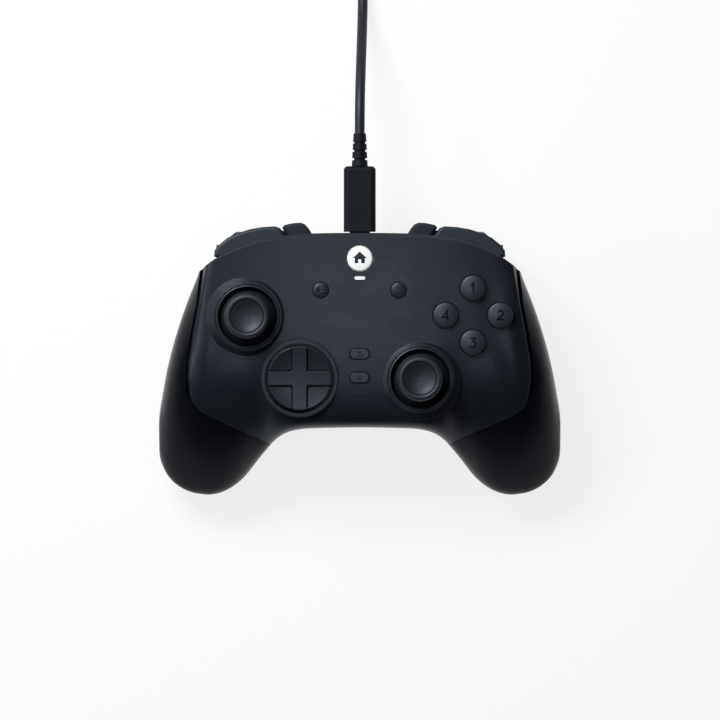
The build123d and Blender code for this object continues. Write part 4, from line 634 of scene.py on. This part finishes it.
class ControllerAddLead(bpy.types.Operator):
    """Adds the lead with its coil, and dresses its plugs and tie"""
    bl_idname = "controller.add_lead"
    bl_label = "Lead"

    def execute(self, context):
        # soft PVC, extruded: a dull sheen with a fine orange peel along it
        pvc = surface(
            "pvc_extruded_black", colour("lead"), 0.5, grain=0.5, depth=0.01, swing=0.15, rub=0.12,
        )
        # the same PVC moulded over the plugs: a fine spark-eroded grain, matter than the cord
        moulded = surface(
            "pvc_overmoulded_black", colour("plug"), 0.6, grain=0.35, depth=0.02, swing=0.12, edge=0.3,
            IOR=1.36, **{"Specular IOR Level": 0.35},
        )
        # hook-and-loop tie, woven nylon: a dull short pile
        woven = surface(
            "nylon_woven_tie", linear("#121316"), 0.85, grain=0.6, depth=0.1, swing=0.25,
            **{"Sheen Weight": 0.3},
        )
        route = lead_route()
        curve = bpy.data.curves.new("lead", "CURVE")
        curve.dimensions = "3D"
        # the points' own radius is the cord's, so that the curve's box is the cord's too
        curve.bevel_depth = 1.0
        curve.bevel_resolution = 6
        curve.resolution_u = 6
        curve.use_fill_caps = True
        spline = curve.splines.new("NURBS")
        spline.points.add(len(route) - 1)
        for point, (x, y, z) in zip(spline.points, route):
            point.co = (x * MM, y * MM, z * MM, 1)
            point.radius = settings("sizes").cord_diameter / 2
        spline.order_u = 3
        spline.use_endpoint_u = True
        lead = new_object(
            "lead", curve, body_named("lead_cord"), ["lead_cord", "lead_coil", "lead_tail"],
        )
        curve.materials.append(pvc)
        dress(["lead_plug", "far_plug"], moulded)
        dress(["coil_tie"], woven)
        return {"FINISHED"}


# shells
class ControllerAddShells(bpy.types.Operator):
    """Dresses the front and rear shells, the grips and the screws"""
    bl_idname = "controller.add_shells"
    bl_label = "Shells and grips"

    def execute(self, context):
        # ABS, moulded in a spark-eroded tool: a fine matt grain that blurs the lamp to a soft sheen.
        # the grain is 0.1 mm on the real one, and is drawn at 0.35 mm so that it shows
        face = surface(
            "abs_moulded_face", colour("shell"), 0.34, grain=0.35, depth=0.012, swing=0.1, rub=0.06,
            streak=0.045, edge=0.25, IOR=1.4,
        )
        back = surface(
            "abs_moulded_back", colour("shell"), 0.52, grain=0.45, depth=0.03, swing=0.1, rub=0.06, edge=0.3,
            IOR=1.4,
        )
        # soft-touch coat over ABS, sprayed: nearly black, as it mirrors little, with a dim highlight
        coat = surface(
            "soft_touch_coated_grip", colour("grip"), 0.3, grain=0.4, depth=0.01, swing=0.1, rub=0.05,
            edge=0.3, IOR=1.33, **{"Specular IOR Level": 0.25},
        )
        # zinc-plated steel screws, turned: a cold, fairly bright metal
        zinc = surface(
            "steel_zinc_plated", linear("#8d9094"), 0.32, grain=0.6, depth=0.01, swing=0.1, edge=0.1,
            Metallic=1.0,
        )
        dress(["front_shell"], face)
        dress(["rear_shell"], back)
        dress(pair("grip_panel"), coat)
        dress(["shell_screws"], zinc)
        return {"FINISHED"}


# sticks, in millimetres: where they stand, and the level they tilt about
STICKS = {"left": (-44.4, 16.7), "right": (23.8, -7.9)}
PIVOT = 42.0
# the dish in a cap: its radius, the radius of the ball that shapes it, its depth and its edge's level
# above the pivot
DISH_RADIUS, DISH_BALL, DISH_DEPTH, DISH_EDGE, DISH_STEPS = 6.0, 13.7, 1.38, 20.14, 14
# the knurled band round a cap, above the pivot
RIB_BAND = (17.2, 19.3)


def cap_outline():
    """The stick cap's outline: dome, neck, flared rim, groove and dish, as (radius, height)."""
    dome, inner, neck, stem = 13.0, 11.8, 5.2, 2.25
    base = (0, PIVOT)
    points = [(0, PIVOT + 17), (stem, PIVOT + 17)]
    points += arc(base, inner, 11, 72, 10)
    points += arc(base, dome, 72, 23.6, 16)
    points += [(neck, PIVOT + 12.4), (neck, PIVOT + 14.9), (5.5, PIVOT + 15.3), (8.35, PIVOT + 16.75)]
    points += [(8.7, PIVOT + 17.0), (8.8, PIVOT + 17.35), (8.8, PIVOT + 18.3), (8.8, PIVOT + 19.2)]
    points += arc((7.45, PIVOT + 19.45), 1.35, 90, -40, 16)
    # the fine groove between the rim and the dish
    points += [(6.42, PIVOT + 20.24), (6.3, PIVOT + 20.0), (6.16, PIVOT + 20.05), (6.08, PIVOT + DISH_EDGE)]
    for step in range(1, DISH_STEPS + 1):
        radius = DISH_RADIUS * (1 - step / DISH_STEPS)
        sunk = DISH_BALL - sqrt(DISH_BALL ** 2 - radius ** 2) - DISH_DEPTH
        points.append((radius, PIVOT + DISH_EDGE + sunk))
    return points


def ring_outline():
    """The ring round a stick: a shallow gutter between two fine ridges, and the sleeve under it."""
    return [
        (11.6, 48.0), (12.0, 48.0), (12.0, 51.9), (12.1, 52.0), (13.0, 52.0), (13.1, 52.1), (13.1, 52.42),
        (13.02, 52.55), (12.9, 52.6), (12.75, 52.56), (12.62, 52.44), (12.4, 52.36), (12.2, 52.36),
        (12.0, 52.44), (11.9, 52.56), (11.8, 52.6), (11.68, 52.55), (11.6, 52.42),
    ]


class ControllerAddSticks(bpy.types.Operator):
    """Adds the thumb sticks' rubber caps and rings"""
    bl_idname = "controller.add_sticks"
    bl_label = "Thumb sticks"

    def execute(self, context):
        sizes = settings("sizes")
        # silicone rubber, moulded: matt, with a soft broad highlight and a very fine grain
        rubber = surface(
            "silicone_rubber_moulded", colour("rubber"), 0.52, grain=0.25, depth=0.012, swing=0.1, rub=0.1,
        )
        # acetal ring, moulded in a polished tool: hard and slippery, with crisp highlights
        acetal = surface(
            "acetal_moulded_ring", linear("#15181c"), 0.36, grain=0.5, depth=0.004, swing=0.08, rub=0.06,
        )
        # grey nylon, moulded, on the shafts, and pressed steel on the modules: satin, hardly seen
        nylon = surface(
            "nylon_moulded_grey", linear("#3b3e42"), 0.48, grain=0.5, depth=0.015, edge=0.15,
        )
        steel = surface(
            "steel_pressed_module", linear("#9a9da1"), 0.34, grain=0.5, depth=0.01, edge=0.1, Metallic=1.0,
        )
        for side, place in STICKS.items():
            cap_node, ring_node = f"{side}_stick_cap", f"{side}_stick_ring"
            mesh = lathe(
                f"{side}_thumb_cap", cap_outline(), place, segments=240,
                ribs=(sizes.rib_count, sizes.rib_depth / MM, PIVOT + RIB_BAND[0], PIVOT + RIB_BAND[1]),
            )
            new_object(f"{side}_thumb_cap", mesh, body_named(cap_node), [cap_node], rubber)
            mesh = lathe(f"{side}_thumb_ring", ring_outline(), place, segments=160, closed=True)
            new_object(f"{side}_thumb_ring", mesh, body_named(ring_node), [ring_node], acetal)
            dress([f"{side}_stick_shaft", f"{side}_stick_cross", f"{side}_stick_cradle"], nylon)
            dress([f"{side}_stick_module"], steel)
        return {"FINISHED"}


# direction pad, in millimetres: its middle, its radius, the levels of its edge and its foot, the depth of
# its dish and the radius of the ball that shapes it
PAD = (-23.7, -7.75)
PAD_RADIUS, PAD_EDGE, PAD_FLOOR, PAD_DISH, PAD_SPHERE = 12.6, 52.6, 48.4, 1.4, 57.4
# half the width of an arm, and the radius of the corners between the arms
ARM_HALF, ARM_CORNER = 2.85, 1.0
# an arm's edge: how wide and how deep its rounding is, and how much room its side takes
ARM_ROUND, ARM_ROUND_DEPTH, ARM_SIDE_START, ARM_SIDE = 0.32, 0.16, 0.02, 0.12
# the groove's depth, how wide and how deep the rim's rounding is, and the cells across the mesh
GROOVE_DEPTH, RIM_ROUND, RIM_DEPTH, PAD_CELLS = 0.3, 0.45, 0.3, 230


def arm_distance(x, y):
    """Distance from the cross's outline, negative inside it; its inner corners are rounded."""
    x, y = abs(x), abs(y)
    if x < y:
        x, y = y, x
    # outside, in the quarter between two arms
    if y > ARM_HALF:
        ahead, beside = x - ARM_HALF, y - ARM_HALF
        if ahead < ARM_CORNER and beside < ARM_CORNER:
            return ARM_CORNER - sqrt((ARM_CORNER - ahead) ** 2 + (ARM_CORNER - beside) ** 2)
        return min(ahead, beside)
    return y - ARM_HALF


def eased(share):
    """A share from 0 to 1, made to start and end gently."""
    share = max(0.0, min(1.0, share))
    return share * share * (3 - 2 * share)


def pad_height(x, y, groove):
    """Height of the direction pad's top: a dish, four rising arms and a groove beside them."""
    far = x * x + y * y
    dish = PAD_EDGE - PAD_DISH + far / (2 * PAD_SPHERE)
    arms = PAD_EDGE + far / (4 * PAD_SPHERE)
    edge = arm_distance(x, y)
    top = arms - ARM_ROUND_DEPTH * (1 - eased(-edge / ARM_ROUND)) ** 2
    low = dish - GROOVE_DEPTH * (1 - eased(abs(edge - groove / 2) / (groove / 2)))
    height = low + (top - low) * (1 - eased((edge + ARM_SIDE_START) / ARM_SIDE))
    rim = PAD_RADIUS - sqrt(far)
    return height - RIM_DEPTH * (1 - eased(rim / RIM_ROUND)) ** 2


class ControllerAddDirectionPad(bpy.types.Operator):
    """Adds the direction pad's dished cap with its four arms"""
    bl_idname = "controller.add_direction_pad"
    bl_label = "Direction pad"

    def execute(self, context):
        groove = settings("sizes").arm_groove / MM
        shape = bmesh.new()
        rows = []
        for row in range(PAD_CELLS + 1):
            line = []
            for column in range(PAD_CELLS + 1):
                u, v = 2 * column / PAD_CELLS - 1, 2 * row / PAD_CELLS - 1
                # a square grid drawn into the disc, its lines straight near the middle
                x = PAD_RADIUS * u * sqrt(1 - v * v / 2)
                y = PAD_RADIUS * v * sqrt(1 - u * u / 2)
                line.append(shape.verts.new((
                    (PAD[0] + x) * MM, (PAD[1] + y) * MM, pad_height(x, y, groove) * MM,
                )))
            rows.append(line)
        for lower, upper in zip(rows, rows[1:]):
            for column in range(PAD_CELLS):
                shape.faces.new((lower[column], lower[column + 1], upper[column + 1], upper[column]))
        border = rows[0][:-1] + [line[-1] for line in rows[:-1]] + rows[-1][:0:-1]
        border += [line[0] for line in rows[:0:-1]]
        skirt = [shape.verts.new((vert.co.x, vert.co.y, PAD_FLOOR * MM)) for vert in border]
        for index in range(len(border)):
            after = (index + 1) % len(border)
            shape.faces.new((border[after], border[index], skirt[index], skirt[after]))
        centre = shape.verts.new((PAD[0] * MM, PAD[1] * MM, PAD_FLOOR * MM))
        for index in range(len(skirt)):
            shape.faces.new((skirt[(index + 1) % len(skirt)], skirt[index], centre))
        bmesh.ops.recalc_face_normals(shape, faces=shape.faces)
        mesh = bpy.data.meshes.new("direction_pad")
        shape.to_mesh(mesh)
        shape.free()
        smooth(mesh, angle=60)
        # ABS, moulded in a fine-textured tool: matt in the dish
        abs_pad = surface(
            "abs_moulded_pad", colour("key"), 0.36, grain=0.3, depth=0.008, swing=0.1, rub=0.06,
            **{"Specular IOR Level": 0.35},
        )
        body = body_named("direction_pad_cap")
        new_object("direction_pad", mesh, body, ["direction_pad_cap"], abs_pad)
        # acetal, moulded: a waxy off-white, under the cap and hardly seen
        acetal = surface(
            "acetal_moulded_white", linear("#c9c8c2"), 0.4, grain=0.5, depth=0.01, edge=0.15,
        )
        dress(["direction_pad_cross", "direction_pad_base"], acetal)
        return {"FINISHED"}


# buttons, in millimetres
ACTION_PLACES = {"north": (44.7, 27.85), "east": (55.45, 17.1), "south": (44.7, 6.35), "west": (33.95, 17.1)}
SMALL_PLACES = {"view": (-15.4, 27.0), "menu": (15.4, 27.0)}
HOME_PLACE = (0, 39.6)
UPPER_PILL_Y, LOWER_PILL_Y = 1.85, -7.5
# the flange that keeps a button in: its thickness, and how near the widest radius its points lie
FLANGE_THICKNESS, FLANGE_SLACK = 1.0, 0.2
DOME_STEPS = 12


def node_profile(name, place):
    """The flange's radius, its level and the foot's level of a button's CAD solid, in millimetres."""
    reach = []
    for vert in nodes[name].data.vertices:
        offset = Vector((vert.co.x / MM - place[0], vert.co.y / MM - place[1]))
        reach.append((offset.length, vert.co.z / MM))
    widest = max(distance for distance, _ in reach)
    flange = max(level for distance, level in reach if distance > widest - FLANGE_SLACK)
    foot = min(level for _, level in reach)
    return widest, flange, foot


def button_outline(radius, top, dome, corner, widest, flange, foot, foot_radius):
    """A turned button: foot, flange, straight side, rounded corner and dome."""
    flange_base = flange - FLANGE_THICKNESS
    points = [(0, foot), (foot_radius, foot), (foot_radius, flange_base), (widest, flange_base)]
    points += [(widest, flange), (radius, flange), (radius, top - dome - corner)]
    points += arc((radius - corner, top - dome - corner), corner, 90, 20, 7)[1:]
    shoulder_radius, shoulder = points[-1]
    for step in range(1, DOME_STEPS + 1):
        share = 1 - step / DOME_STEPS
        points.append((shoulder_radius * share, top - (top - shoulder) * share ** 2))
    return points


def turned_key(name, node, place, slot, material, segments=120, **sizes):
    """A round button, turned on its CAD solid's flange and foot."""
    widest, flange, foot = node_profile(node, place)
    outline = button_outline(widest=widest, flange=flange, foot=foot, **sizes)
    mesh = lathe(name, outline, place, segments)
    return new_object(name, mesh, body_named(node), [node], material)


def pad_ink(name):
    """Pad-printed ink, full of carbon black: thin, even and much matter than the key under it."""
    return surface(
        name, colour("mark"), 0.8, grain=0.3, depth=0.004, swing=0.05, **{"Specular IOR Level": 0.15},
    )


def number_strokes(number, x, y, width):
    """The loops of a plain number 3.9 mm tall."""
    half, rise = 1.15, 1.95
    if number == 1:
        return [stroke([(x - 0.85, y + 1.1), (x + 0.1, y + rise - 0.15), (x + 0.1, y - rise)], width)]
    if number == 2:
        top = bend(x, y + 0.8, 1.05, 165, -35)
        return [stroke(top + [(x - half, y - rise + 0.28), (x + half + 0.1, y - rise + 0.28)], width)]
    if number == 3:
        top = [(x - 1.1, y + rise - 0.28), (x + 0.95, y + rise - 0.28), (x - 0.15, y + 0.42)]
        return [stroke(top + bend(x - 0.1, y - 0.72, 1.12, 75, -150), width)]
    upright = [(x + 0.55, y - rise), (x + 0.55, y + rise - 0.1)]
    return [stroke(upright + [(x - 1.3, y - 0.75), (x + 1.35, y - 0.75)], width)]


class ControllerAddActionButtons(bpy.types.Operator):
    """Adds the four domed action buttons and their numbers"""
    bl_idname = "controller.add_action_buttons"
    bl_label = "Action buttons"

    def execute(self, context):
        # ABS, moulded in a polished tool and lightly textured: a soft gradient over each dome
        gloss = surface(
            "abs_moulded_action_key", colour("action"), 0.4, grain=0.3, depth=0.006, swing=0.08, rub=0.06,
        )
        ink = pad_ink("ink_pad_printed")
        width = settings("sizes").mark_width / MM
        for number, (place_name, place) in enumerate(ACTION_PLACES.items(), 1):
            node = f"{place_name}_button"
            key = turned_key(
                f"{place_name}_key", node, place, "key", gloss,
                radius=5.0, top=53.7, dome=0.6, corner=0.4, foot_radius=2.5,
            )
            strokes = number_strokes(number, *place, width)
            printed(f"{place_name}_number", strokes, key, body_named(node), ink)
        return {"FINISHED"}


def rounded_box(left, front, right, back, corner):
    """The outline of a rectangle with rounded corners."""
    loop = []
    for centre_x, centre_y, start in (
        (right - corner, back - corner, 0), (left + corner, back - corner, 90),
        (left + corner, front + corner, 180), (right - corner, front + corner, 270),
    ):
        loop += bend(centre_x, centre_y, corner, start, start + 90, 4)
    return loop


class ControllerAddSmallButtons(bpy.types.Operator):
    """Adds the small buttons of the middle with their icons"""
    bl_idname = "controller.add_small_buttons"
    bl_label = "Small buttons"

    def execute(self, context):
        # ABS, moulded: a satin face with a bright rounded edge
        satin = surface("abs_moulded_small_key", colour("key"), 0.38, grain=0.3, depth=0.006, swing=0.08)
        ink = pad_ink("ink_pad_printed_small")
        keys = {}
        for name, place in SMALL_PLACES.items():
            keys[name] = turned_key(
                f"{name}_key", f"{name}_button", place, "key", satin, segments=96,
                radius=3.1, top=52.3, dome=0.35, corner=0.35, foot_radius=1.5,
            )
        x, y = SMALL_PLACES["menu"]
        bars = [slab(x - 1.35, y + level - 0.17, x + 1.35, y + level + 0.17) for level in (-0.9, 0, 0.9)]
        printed("menu_bars", bars, keys["menu"], body_named("menu_button"), ink)
        x, y = SMALL_PLACES["view"]
        printed("view_windows", [
            rounded_box(x - 0.45, y - 1.3, x + 1.55, y + 0.45, 0.3),
            rounded_box(x - 0.17, y - 1.02, x + 1.27, y + 0.17, 0.15),
            rounded_box(x - 1.5, y - 0.35, x - 0.62, y + 1.3, 0.25),
        ], keys["view"], body_named("view_button"), ink)
        dress(["upper_pill_button", "lower_pill_button"], satin)
        y = UPPER_PILL_Y
        printed("upload_arrow", [
            [(-0.62, y + 0.2), (0.62, y + 0.2), (0, y + 0.95)],
            slab(-0.14, y - 0.45, 0.14, y + 0.15),
            stroke([(-1.15, y - 0.35), (-1.15, y - 0.85), (1.15, y - 0.85), (1.15, y - 0.35)], 0.26),
        ], nodes["upper_pill_button"], body_named("upper_pill_button"), ink)
        ring = [circle(0, LOWER_PILL_Y, radius) for radius in (0.85, 0.52)]
        printed("record_ring", ring, nodes["lower_pill_button"], body_named("lower_pill_button"), ink)
        return {"FINISHED"}


class ControllerAddHome(bpy.types.Operator):
    """Adds the white home button, its house icon and the status light"""
    bl_idname = "controller.add_home"
    bl_label = "Home button and light"

    def execute(self, context):
        # polycarbonate, moulded and lit softly from inside: milky white, glossy
        milky = surface(
            "polycarbonate_moulded_white", colour("home"), 0.22, grain=0.6, depth=0.002, swing=0.01,
            rub=0.03, **{"Subsurface Weight": 0.15, "Subsurface Scale": 0.002},
        )
        # clear polycarbonate over a small lamp: smooth, and evenly lit
        lamp = surface(
            "polycarbonate_light_guide", linear("#f6f8fa"), 0.3, grain=0.6, depth=0.002, swing=0.01,
            **{"Emission Color": (*linear("#f4f8ff"), 1), "Emission Strength": 0.75},
        )
        # pad-printed ink on a glossy key: it takes on some of the gloss
        ink = surface("ink_pad_printed_home", linear("#0b0d10"), 0.4, grain=0.3, depth=0.003, swing=0.05)
        key = turned_key(
            "home_key", "home_button", HOME_PLACE, "white_key", milky,
            radius=4.95, top=52.2, dome=0.4, corner=0.35, foot_radius=1.5,
        )
        x, y = HOME_PLACE
        house = [
            (x - 2.0, y - 1.9), (x - 2.0, y + 0.1), (x - 2.75, y + 0.1), (x, y + 2.7), (x + 2.75, y + 0.1),
            (x + 2.0, y + 0.1), (x + 2.0, y - 1.9), (x + 0.6, y - 1.9), (x + 0.6, y - 0.4),
            (x - 0.6, y - 0.4), (x - 0.6, y - 1.9),
        ]
        printed("home_icon", [house], key, body_named("home_button"), ink)
        dress(["status_light"], lamp)
        return {"FINISHED"}


# the rest of the CAD parts
class ControllerAddShoulders(bpy.types.Operator):
    """Dresses the bumpers, claw bumpers, triggers and their frames"""
    bl_idname = "controller.add_shoulders"
    bl_label = "Shoulders"

    def execute(self, context):
        # ABS, moulded: satin on the bumpers, with a grip pattern of small studs on the triggers
        satin = surface("abs_moulded_bumper", colour("key"), 0.5, grain=0.35, depth=0.01, edge=0.3)
        trigger = surface(
            "abs_moulded_trigger", colour("key"), 0.46, grain=0.35, depth=0.012, edge=0.3,
            cell=1.4, cell_depth=0.12,
        )
        # glass-filled nylon, moulded: dull, and darker than the keys as painted shade, so that the gaps look
        # deep
        frame_painted_shade = surface(
            "nylon_moulded_frame", linear("#0e1013"), 0.55, grain=0.5, depth=0.02, edge=0.2,
        )
        # steel pins, ground: bright and close to a mirror
        pins = surface("steel_ground_pin", linear("#a4a7ab"), 0.25, grain=0.4, depth=0.004, Metallic=1.0)
        # the claw bumpers come from another tool with a duller grain
        dull = surface(
            "abs_moulded_claw_bumper", colour("key"), 0.58, grain=0.4, depth=0.014, edge=0.3, IOR=1.38,
        )
        dress(pair("bumper"), satin)
        dress(pair("claw_bumper"), dull)
        dress(pair("trigger"), trigger)
        dress(pair("shoulder_frame"), frame_painted_shade)
        dress(["trigger_pins"], pins)
        return {"FINISHED"}


class ControllerAddBackControls(bpy.types.Operator):
    """Dresses the back buttons and the trigger stops"""
    bl_idname = "controller.add_back_controls"
    bl_label = "Back controls"

    def execute(self, context):
        # ABS, moulded in a polished tool: a little glossier than the shell round them
        satin = surface("abs_moulded_back_key", colour("key"), 0.36, grain=0.3, depth=0.008, edge=0.3)
        dress([f"{row}_{button}" for row in ("upper", "lower") for button in pair("back_button")], satin)
        dress(pair("trigger_stop"), satin)
        return {"FINISHED"}


class ControllerAddInside(bpy.types.Operator):
    """Dresses the boards, sockets and rumble motors"""
    bl_idname = "controller.add_inside"
    bl_label = "Inside"

    def execute(self, context):
        # solder mask over glass fibre: glossy dark green with the weave just showing
        mask = surface("fibreglass_solder_masked", linear("#123424"), 0.3, grain=0.8, depth=0.01, edge=0.1)
        # epoxy moulded round the chips: dull, near black
        epoxy = surface("epoxy_moulded_chip", linear("#17181a"), 0.5, grain=0.3, depth=0.01, edge=0.1)
        # nickel-plated steel, pressed: bright, with a warm tone
        nickel = surface(
            "steel_nickel_plated", linear("#b4b2ac"), 0.28, grain=0.5, depth=0.006, edge=0.1, Metallic=1.0,
        )
        # tungsten alloy, sintered: a grey metal with a grainy, dull skin
        tungsten = surface(
            "tungsten_sintered", linear("#6c6b68"), 0.45, grain=0.4, depth=0.02, edge=0.15, Metallic=1.0,
        )
        # nylon, moulded: the socket's black housing, satin
        black = surface("nylon_moulded_black", linear("#151618"), 0.45, grain=0.4, depth=0.01, edge=0.1)
        dress(["main_board", "key_board"], mask)
        dress(["board_parts"], epoxy)
        dress(["usb_socket"], nickel)
        dress(["headset_jack"], black)
        dress(pair("rumble_motor"), nickel)
        dress(pair("motor_weight"), tungsten)
        return {"FINISHED"}


class ControllerPanel(bpy.types.Panel):
    """Lists the controller's pieces"""
    bl_idname = "VIEW3D_PT_controller"
    bl_label = "Controller"
    bl_space_type = "VIEW_3D"
    bl_region_type = "UI"
    bl_category = "Controller"

    def draw(self, context):
        for operator in OPERATORS:
            self.layout.operator(operator.bl_idname)
        for group, kind in GROUPS.items():
            box = self.layout.box()
            for name in kind.__annotations__:
                box.prop(settings(group), name)


GROUPS = {"colours": ControllerColours, "sizes": ControllerSizes, "stage": ControllerStage}
OPERATORS = [
    ControllerAddStage, ControllerAddLead, ControllerAddShells, ControllerAddSticks,
    ControllerAddDirectionPad, ControllerAddActionButtons, ControllerAddSmallButtons,
    ControllerAddHome, ControllerAddShoulders, ControllerAddBackControls, ControllerAddInside,
]


def register():
    for kind in [*GROUPS.values(), *OPERATORS, ControllerPanel]:
        bpy.utils.register_class(kind)
    for group, kind in GROUPS.items():
        setattr(bpy.types.Scene, "controller_" + group, bpy.props.PointerProperty(type=kind))


def unregister():
    for group in GROUPS:
        delattr(bpy.types.Scene, "controller_" + group)
    for kind in [ControllerPanel, *reversed(OPERATORS), *reversed(GROUPS.values())]:
        bpy.utils.unregister_class(kind)


def main():
    register()
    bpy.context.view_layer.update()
    for operator in OPERATORS:
        group, name = operator.bl_idname.split(".")
        getattr(getattr(bpy.ops, group), name)()


if __name__ == "__main__":
    main()
